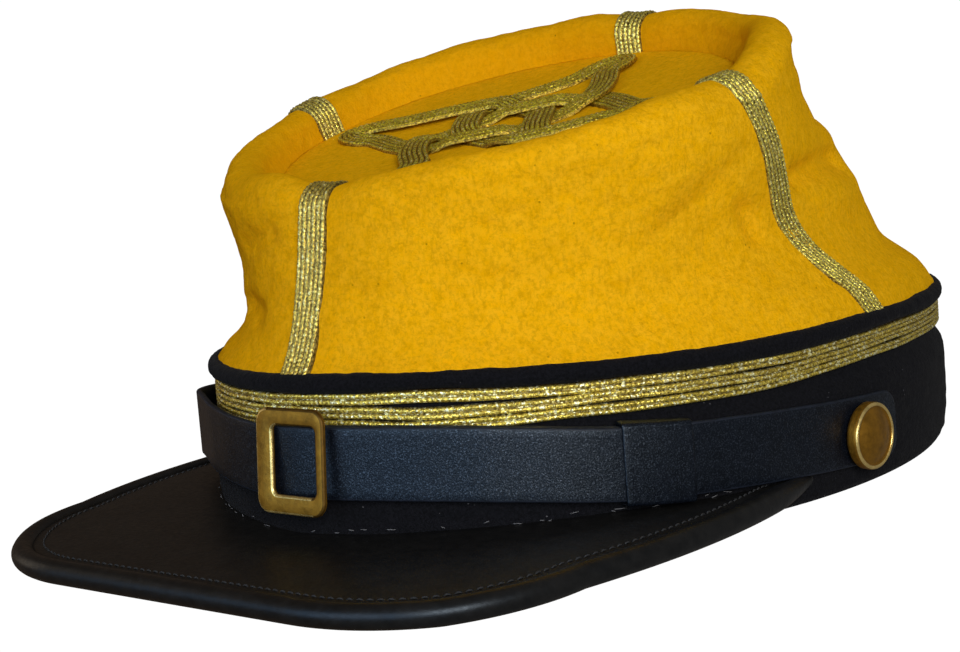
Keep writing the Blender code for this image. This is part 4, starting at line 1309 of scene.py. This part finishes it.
def seam_lines():
    """Middle lines of the loose threads where the visor meets the band, five points each."""
    chance = random.Random(SEAM_SEED)
    along = np.linspace(-1.0, 1.0, 5)
    lines = []
    where = -SEAM_REACH
    while where < SEAM_REACH:
        half = math.degrees(chance.uniform(*SEAM_THREAD_LENGTH) / 2.0 / HALF_WIDTH)
        azimuth = where + half * along
        if chance.random() < SEAM_SHARE:
            level = curve_through(VISOR_JOINT, np.abs(azimuth))[:, 0] + chance.uniform(*SEAM_RISE)
            level += chance.uniform(*SEAM_SLANT) * along
            outward = SEAM_STAND_OFF + chance.uniform(*SEAM_LOOSE)
            lines.append(wall_points(np.radians(azimuth), outward, level))
        where += 2.0 * half + chance.uniform(*SEAM_GAP)
    return lines


def thread_tubes(lines, thickness):
    """Corners and faces of short threads of five points, each a tube that thins at its ends."""
    ahead = unit(np.gradient(lines, axis=1))
    aside = unit(np.cross(ahead, np.array([0.0, 0.0, 1.0])))
    above = np.cross(aside, ahead)
    spin = full_turn(THREAD_SIDES)[:, None]
    thick = np.array(thickness)[:, None, None, None] * np.array(THREAD_THINNING)[:, None, None]
    ring = lines[:, :, None] + thick * (aside[:, :, None] * np.cos(spin) + above[:, :, None] * np.sin(spin))
    size = THREAD_SIDES * len(THREAD_THINNING)
    side = range(THREAD_SIDES)
    faces = []
    for base in range(0, size * len(lines), size):
        last = base + size - THREAD_SIDES
        for i in range(base, last, THREAD_SIDES):
            for j, k in zip(side, (*side[1:], 0)):
                faces.append((i + j, i + k, i + THREAD_SIDES + k, i + THREAD_SIDES + j))
        faces.append(tuple(range(base, base + THREAD_SIDES))[::-1])
        faces.append(tuple(range(last, base + size)))
    return ring.reshape(-1, 3), faces


class KEPI_OT_visor(bpy.types.Operator):
    """Build the leather visor, its rolled binding and the stitches beside it"""

    bl_idname = "kepi.visor"
    bl_label = "Visor"

    def execute(self, context):
        look = context.scene.kepi_leather
        leather = leather_material(
            "visor_leather", look.visor_colour, roughness=0.42, scale=900.0, depth=0.00006, tint=VISOR_SHINE)
        rolled = leather_material(
            "binding_leather", look.visor_colour, roughness=0.36, scale=700.0, depth=0.00008, tint=COOL_SHINE)
        thread = Shader("visor_thread", look.thread_colour, roughness=0.8).material
        loose = Shader("seam_thread", look.seam_colour, roughness=0.8).material
        plan, z, inward, share, length = visor_edge()

        t = np.linspace(0.0, 1.0, VISOR_ROWS)
        root, rim, joint = visor_span(plan, inward, share, VISOR_ROOT)
        flat = root[:, None] + (rim - root)[:, None] * t[None, :, None]
        upper = raised(flat, visor_level(joint[:, None], z[:, None], t))[:VISOR_STATIONS]
        lower = upper - np.array([0.0, 0.0, VISOR_THICKNESS])
        points = np.concatenate([upper, lower[:, ::-VISOR_UNDER_STEP]], 1)
        points = mirrored(clear_of_band(points, VISOR_CLEARANCE))
        piece("visor", "visor_leather", points, ROUND_PART, [leather], caps=True)

        turn = full_turn(BINDING_SIDES)[None, :]
        left = np.clip((length * (1.0 - share)) / BINDING_TAPER, 0.0, 1.0)
        radius = (BINDING_RADIUS * (BINDING_END + (1.0 - BINDING_END) * left**BINDING_SWELL))[:, None]
        flat = plan[:, None] - inward[:, None] * (radius * np.cos(turn))[..., None]
        points = raised(flat, z[:, None] + radius * np.sin(turn))[:BINDING_STATIONS]
        points = mirrored(clear_of_band(points, BINDING_CLEARANCE))
        piece("visor_binding", "visor_binding_leather", points, ROUND_PART, [rolled], caps=True)

        stitches = stitch_lines(plan, z, inward, share, look.stitch_pitch / MM)
        if not stitches:
            raise RuntimeError("the visor got no stitches")
        threads = seam_lines()
        thickness = [STITCH_THICKNESS] * len(stitches) + [SEAM_THICKNESS] * len(threads)
        corners, faces = thread_tubes(np.array(stitches + threads), thickness)
        picked = np.repeat([0, 1], [len(faces) * len(part) // len(thickness) for part in (stitches, threads)])
        made = smooth_object("visor_stitches", corners, faces, [thread, loose], picked.astype(np.int32))
        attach(made, "root")
        return {"FINISHED"}


def strap_points(rows, ends):
    """Section grid of a strap part, a flat section with rounded edges. ends lists its rounded ends."""
    first, last = rows[0][0], rows[-1][0]
    azimuth = np.linspace(first, last, int((last - first) / STRAP_STEP) + 1)
    for end, sense in ends:
        azimuth = np.concatenate([azimuth, end + sense * np.array(STRAP_END_STEPS)])
    azimuth = np.unique(np.round(azimuth, 3))
    height, stand_off = curve_through(rows, azimuth).T
    half = np.full(len(azimuth), STRAP_WIDTH / 2)
    for end, _ in ends:
        along = np.abs(azimuth - end) * STRAP_RUN
        bulge = np.sqrt(np.clip(1.0 - (1.0 - along / STRAP_CORNER) ** 2, 0.0, 1.0))
        tip = STRAP_WIDTH / 2 - STRAP_CORNER + STRAP_CORNER * bulge
        half = np.where(along < STRAP_CORNER, np.minimum(half, tip), half)
    edge = STRAP_EDGE
    bend = np.radians(np.linspace(180.0, 0.0, 9))
    inner, outer = bend[:5], bend[4:]
    out = np.concatenate([edge + edge * np.cos(inner), STRAP_THICKNESS - edge + edge * np.cos(outer)])
    rise = np.concatenate([edge * np.sin(inner), edge * np.sin(outer)]) - edge
    flat = np.linspace(1.0, -1.0, STRAP_FLAT + 2)[1:-1]
    still, full = np.zeros(STRAP_FLAT), np.ones(len(out))
    outs = np.concatenate([out, still + STRAP_THICKNESS, out[::-1], still])
    rises = np.concatenate([rise, still, -rise[::-1], still])
    scale = np.concatenate([full, flat, -full, -flat])
    ripple = STRAP_RIPPLE * np.sin(np.radians(azimuth) * STRAP_RIPPLES)[:, None]
    level = height[:, None] + half[:, None] * scale[None, :] + rises[None, :]
    turned = np.radians(azimuth)[:, None]
    # the rounded edges take material 1, a lighter leather that paints a highlight on them
    slots = np.tile(np.repeat([1, 0], [len(out) - 1, STRAP_FLAT + 1]), 2)
    return wall_points(turned, stand_off[:, None] + outs[None, :] + ripple, level), slots


def rounded_outline(left, right, bottom, top, corner, count):
    """Outline of a rounded rectangle, so many points to a corner."""
    outline = []
    spin = np.radians(np.linspace(0, 90, count))
    for x, z, start in ((right, top, 0), (left, top, 90), (left, bottom, 180), (right, bottom, 270)):
        cx = x - corner if x == right else x + corner
        cz = z - corner if z == top else z + corner
        turned = spin + math.radians(start)
        outline.append(np.stack([cx + corner * np.cos(turned), cz + corner * np.sin(turned)], -1))
    return np.concatenate(outline)


class KEPI_OT_strap(bpy.types.Operator):
    """Build the two parts of the chin strap and its keeper"""

    bl_idname = "kepi.strap"
    bl_label = "Chin strap"

    def execute(self, context):
        look = context.scene.kepi_leather
        face = leather_material(
            "strap_leather", look.strap_colour, roughness=0.35, scale=2600.0, depth=0.00014, tint=COOL_SHINE,
            shine=0.26, grain=4.0)
        # painted highlight: the strap's rounded edges take a leather three times lighter
        edge = leather_material(
            "strap_edge", shade(look.strap_colour, 3.0), roughness=0.55, scale=1500.0, depth=0.00006)
        for side, rows, ends in STRAP_PARTS:
            node = "chin_strap_" + side
            points, slots = strap_points(rows, ends)
            piece(node, node + "_leather", points, ROUND_PART, [face, edge], slots=slots, caps=True)

        gaps, cuts = np.array(KEEPER_EDGE).T
        azimuth = np.linspace(KEEPER_START + KEEPER_FLAT, KEEPER_END - KEEPER_FLAT, KEEPER_STATIONS)
        azimuth = np.concatenate([KEEPER_START + gaps, azimuth, KEEPER_END - gaps[::-1]])
        pinch = np.concatenate([cuts, np.zeros(KEEPER_STATIONS), cuts[::-1]])[:, None, None]
        height = curve_through(STRAP_LEFT, azimuth)
        far = STRAP_RIGHT[-1][2] + STRAP_THICKNESS + KEEPER_PLAY + KEEPER_WALL
        half = STRAP_WIDTH / 2 + KEEPER_PLAY + KEEPER_WALL
        rings = []
        for inset, corner in ((0.0, KEEPER_CORNER), (KEEPER_WALL, KEEPER_CORNER_INSIDE)):
            low, high, top = KEEPER_INSIDE + inset, far - inset, half - inset
            rings.append(rounded_outline(low, high, -top, top, corner, KEEPER_FINE))
        middle = (rings[0] + rings[1]) / 2
        turned = np.radians(azimuth)[:, None]
        faces = []
        for ring in rings:
            ring = ring[None] + (middle - ring)[None] * pinch
            faces.append(wall_points(turned, ring[..., 0], height[:, :1] + ring[..., 1]))
        points = np.concatenate([faces[0], faces[1][::-1]])
        piece("strap_keeper", "strap_keeper_leather", points, CLOSED, [face])
        return {"FINISHED"}


class KEPI_OT_brass(bpy.types.Operator):
    """Build the buckle and the two side buttons"""

    bl_idname = "kepi.brass"
    bl_label = "Buckle and buttons"

    def execute(self, context):
        look = context.scene.kepi_brass
        brass = brass_material("brass", look.brass_colour, roughness=0.42)
        # the rubbed brass is wear with a painted highlight; the darker one is painted shade
        worn = brass_material("brass_worn", look.wear_highlight_colour, roughness=0.30)
        shaded_edges = brass_material("brass_dull", shade(look.brass_colour, 0.35), roughness=0.5)

        width, tall = BUCKLE_SIZE
        left, right = BUCKLE_X - width / 2, BUCKLE_X + width / 2
        bottom, top = BUCKLE_Z - tall / 2, BUCKLE_Z + tall / 2
        bar_right, bar_left, bar_top, bar_bottom = BUCKLE_BARS
        rings = {
            "plate": (left, right, bottom, top, BUCKLE_CORNER),
            "window": (left + bar_right, right - bar_left, bottom + bar_bottom, top - bar_top, WINDOW_CORNER),
        }
        section = []
        for ring, inset, depth, _ in BUCKLE_SECTION:
            low_x, high_x, low_z, high_z, corner = rings[ring]
            x, z = rounded_outline(
                low_x + inset, high_x - inset, low_z + inset, high_z - inset, corner - inset, BUCKLE_FINE).T
            section.append(np.stack([x, np.full(len(x), -(BUCKLE_BACK + depth)), z], -1))
        points = np.stack(section, 1)
        points[..., 1] += (points[..., 2] - BUCKLE_Z) * math.tan(BUCKLE_LEAN)
        # painted shade: rubbed edges on the wearer's left part of the buckle take the darker brass, the
        # others the brighter rubbed one with its painted highlight
        slots = np.tile([row[-1] for row in BUCKLE_SECTION], (len(points), 1))
        across = (points[:, 0, 0] - BUCKLE_X) / (width / 2)
        slots[(across > BUCKLE_SHADE_FROM)[:, None] & (slots == 1)] = 2
        piece("buckle", "buckle_brass", points, CLOSED, [brass, worn, shaded_edges], slots=slots)

        turn = full_turn(look.button_sides)[:, None, None]
        row = np.linspace(0, len(BUTTON_PROFILE) - 1, BUTTON_ROWS)
        radius, height = at_lengths(np.array(BUTTON_PROFILE), np.arange(len(BUTTON_PROFILE)), row).T
        radius = np.maximum(radius, BUTTON_POLE)
        plan, normal = oval(np.array(BUTTON_AZIMUTH), BUTTON_STAND_OFF)
        normal = np.array([*normal, 0.0])
        beside = np.array([-normal[1], normal[0], 0.0])
        spoke = beside * np.cos(turn) + np.array([0.0, 0.0, 1.0]) * np.sin(turn)
        base = np.array([*plan, BUTTON_HEIGHT])
        points = base + normal * height[None, :, None] + spoke * radius[None, :, None]
        slots = np.where((row > BUTTON_WORN[0]) & (row < BUTTON_WORN[1]), 1, 0)
        other = points[::-1] * np.array([-1.0, 1.0, 1.0])
        for side, grid in (("left", points), ("right", other)):
            node = "side_button_" + side
            piece(node, node + "_brass", grid, ROUND_CAP, [brass, worn], slots=slots)
        return {"FINISHED"}


def stand(obj, place, right, up, back):
    """Place an object by its three axes, all in the cap's frame."""
    turn = Matrix(np.stack([right, up, back], 1).tolist()).to_4x4()
    where, spin, _ = (rest_matrix() @ Matrix.Translation(place.tolist()) @ turn).decompose()
    obj.matrix_world = Matrix.Translation(where) @ spin.to_matrix().to_4x4()


def direction(azimuth, elevation):
    """Direction away from the cap at an azimuth and an elevation."""
    flat = math.cos(elevation)
    return np.array([math.sin(azimuth) * flat, -math.cos(azimuth) * flat, math.sin(elevation)])


def add_camera():
    """The camera, turned from the middle of the picture by its pan, tilt and roll."""
    back = direction(CAMERA_AZIMUTH, CAMERA_ELEVATION)
    place = np.array([0.0, 0.0, CAMERA_TARGET_Z]) + CAMERA_DISTANCE * back
    right = np.array([math.cos(CAMERA_AZIMUTH), math.sin(CAMERA_AZIMUTH), 0.0])
    down = np.cross(-back, right)
    forward = unit(CAMERA_PAN * right + CAMERA_TILT * down - back)
    right = unit(right - forward * np.dot(right, forward))
    down = np.cross(forward, right)
    cosine, sine = math.cos(CAMERA_ROLL), math.sin(CAMERA_ROLL)
    data = bpy.data.cameras.new("camera")
    data.lens = CAMERA_LENS
    data.sensor_width = CAMERA_SENSOR
    data.sensor_fit = "HORIZONTAL"
    data.clip_start, data.clip_end = CAMERA_CLIP
    camera = new_object("camera", data)
    stand(camera, place, cosine * right + sine * down, sine * right - cosine * down, -forward)
    return camera


def add_light(name, azimuth, elevation, distance, size, colour, lights_matte, lights_shine, power):
    """An area light at an azimuth, elevation and distance from the middle of the cap, facing it."""
    data = bpy.data.lights.new(name, "AREA")
    data.shape = "RECTANGLE"
    data.size, data.size_y = size
    data.energy = power
    data.color = colour
    light = new_object(name, data)
    light.visible_diffuse = lights_matte
    light.visible_glossy = lights_shine
    back = direction(math.radians(azimuth), math.radians(elevation))
    right = unit(np.cross(np.array([0.0, 0.0, 1.0]), back))
    stand(light, np.array(LIGHTS_MIDDLE) + distance * back, right, np.cross(back, right), back)


def add_backdrop():
    """A white floor and a white wall all round it. They only fill the background and light nothing."""
    white = bpy.data.materials.new("stage_white")
    white.use_nodes = True
    nodes = white.node_tree.nodes
    nodes.remove(nodes["Principled BSDF"])
    glow = nodes.new("ShaderNodeEmission")
    glow.inputs["Color"].default_value = (*WHITE, 1.0)
    glow.inputs["Strength"].default_value = STAGE_GLOW
    white.node_tree.links.new(glow.outputs[0], nodes["Material Output"].inputs["Surface"])
    reach = STAGE_REACH
    corners = ((-reach, -reach), (reach, -reach), (reach, reach), (-reach, reach))
    square = [(x, y, STAGE_FLOOR_Z) for x, y in corners]
    ring = [(reach * math.cos(turn), reach * math.sin(turn)) for turn in full_turn(STAGE_SIDES)]
    wall = [(x, y, z) for z in STAGE_WALL for x, y in ring]
    nexts = [(i, (i + 1) % STAGE_SIDES) for i in range(STAGE_SIDES)]
    panels = [(i, k, STAGE_SIDES + k, STAGE_SIDES + i) for i, k in nexts]
    for name, corners, faces in (("stage_floor", square, [(0, 1, 2, 3)]), ("stage_backdrop", wall, panels)):
        mesh = bpy.data.meshes.new(name)
        mesh.from_pydata(corners, [], faces)
        mesh.materials.append(white)
        made = new_object(name, mesh)
        made.visible_diffuse = False
        made.visible_glossy = False
        made.visible_shadow = False


def add_room(strength):
    """Soft light from all round, browner on the side of the wearer's right."""
    world = bpy.data.worlds.new("soft_room")
    world.use_nodes = True
    tree = world.node_tree
    where = tree.nodes.new("ShaderNodeSeparateXYZ")
    side = tree.nodes.new("ShaderNodeMapRange")
    room = tree.nodes.new("ShaderNodeMix")
    sky = tree.nodes["Background"]
    room.data_type = "RGBA"
    side.inputs["From Min"].default_value, side.inputs["From Max"].default_value = ROOM_TURN
    for socket, colour in zip(room.inputs[6:8], (ROOM_LIGHT, ROOM_BROWN)):
        socket.default_value = (*colour, 1.0)
    tree.links.new(tree.nodes.new("ShaderNodeTexCoord").outputs["Generated"], where.inputs[0])
    tree.links.new(where.outputs["X"], side.inputs["Value"])
    tree.links.new(side.outputs["Result"], room.inputs["Factor"])
    tree.links.new(room.outputs[2], sky.inputs["Color"])
    sky.inputs["Strength"].default_value = strength
    return world


class KEPI_OT_stage(bpy.types.Operator):
    """Set the white floor and backdrop, the lights and the camera"""

    bl_idname = "kepi.stage"
    bl_label = "Stage"

    def execute(self, context):
        scene = context.scene
        look = scene.kepi_stage
        add_backdrop()
        scene.world = add_room(look.ambient)
        for light in LIGHTS:
            add_light(*light, getattr(look, light[0] + "_power"))
        scene.camera = add_camera()
        scene.view_settings.view_transform = "Standard"
        scene.view_settings.look = "None"
        scene.view_settings.exposure = 0.0
        scene.view_settings.gamma = 1.0
        return {"FINISHED"}


class KEPI_PT_cap(bpy.types.Panel):
    """Sizes and colours of the kepi cap, and a button for each group of pieces"""

    bl_idname = "KEPI_PT_cap"
    bl_label = "Kepi cap"
    bl_space_type = "VIEW_3D"
    bl_region_type = "UI"
    bl_category = "Kepi"

    def draw(self, context):
        layout = self.layout
        for group, operator in STEPS:
            box = layout.box()
            looks = getattr(context.scene, group)
            for name in looks.__annotations__:
                box.prop(looks, name)
            box.operator(operator)


LOOKS = (
    ("kepi_crown", KepiCrownLook),
    ("kepi_braid", KepiBraidLook),
    ("kepi_band", KepiBandLook),
    ("kepi_leather", KepiLeatherLook),
    ("kepi_brass", KepiBrassLook),
    ("kepi_stage", KepiStageLook),
)
STEPS = (
    ("kepi_crown", "kepi.crown"),
    ("kepi_braid", "kepi.braid"),
    ("kepi_band", "kepi.band"),
    ("kepi_leather", "kepi.visor"),
    ("kepi_leather", "kepi.strap"),
    ("kepi_brass", "kepi.brass"),
    ("kepi_stage", "kepi.stage"),
)
OPERATORS = (
    KEPI_OT_crown,
    KEPI_OT_braid,
    KEPI_OT_band,
    KEPI_OT_visor,
    KEPI_OT_strap,
    KEPI_OT_brass,
    KEPI_OT_stage,
)


def register():
    for name, group in LOOKS:
        bpy.utils.register_class(group)
        setattr(bpy.types.Scene, name, PointerProperty(type=group))
    for operator in OPERATORS:
        bpy.utils.register_class(operator)
    bpy.utils.register_class(KEPI_PT_cap)


def unregister():
    bpy.utils.unregister_class(KEPI_PT_cap)
    for operator in reversed(OPERATORS):
        bpy.utils.unregister_class(operator)
    for name, group in reversed(LOOKS):
        delattr(bpy.types.Scene, name)
        bpy.utils.unregister_class(group)


def main():
    register()
    bpy.ops.kepi.crown()
    bpy.ops.kepi.braid()
    bpy.ops.kepi.band()
    bpy.ops.kepi.visor()
    bpy.ops.kepi.strap()
    bpy.ops.kepi.brass()
    bpy.ops.kepi.stage()


if __name__ == "__main__":
    main()
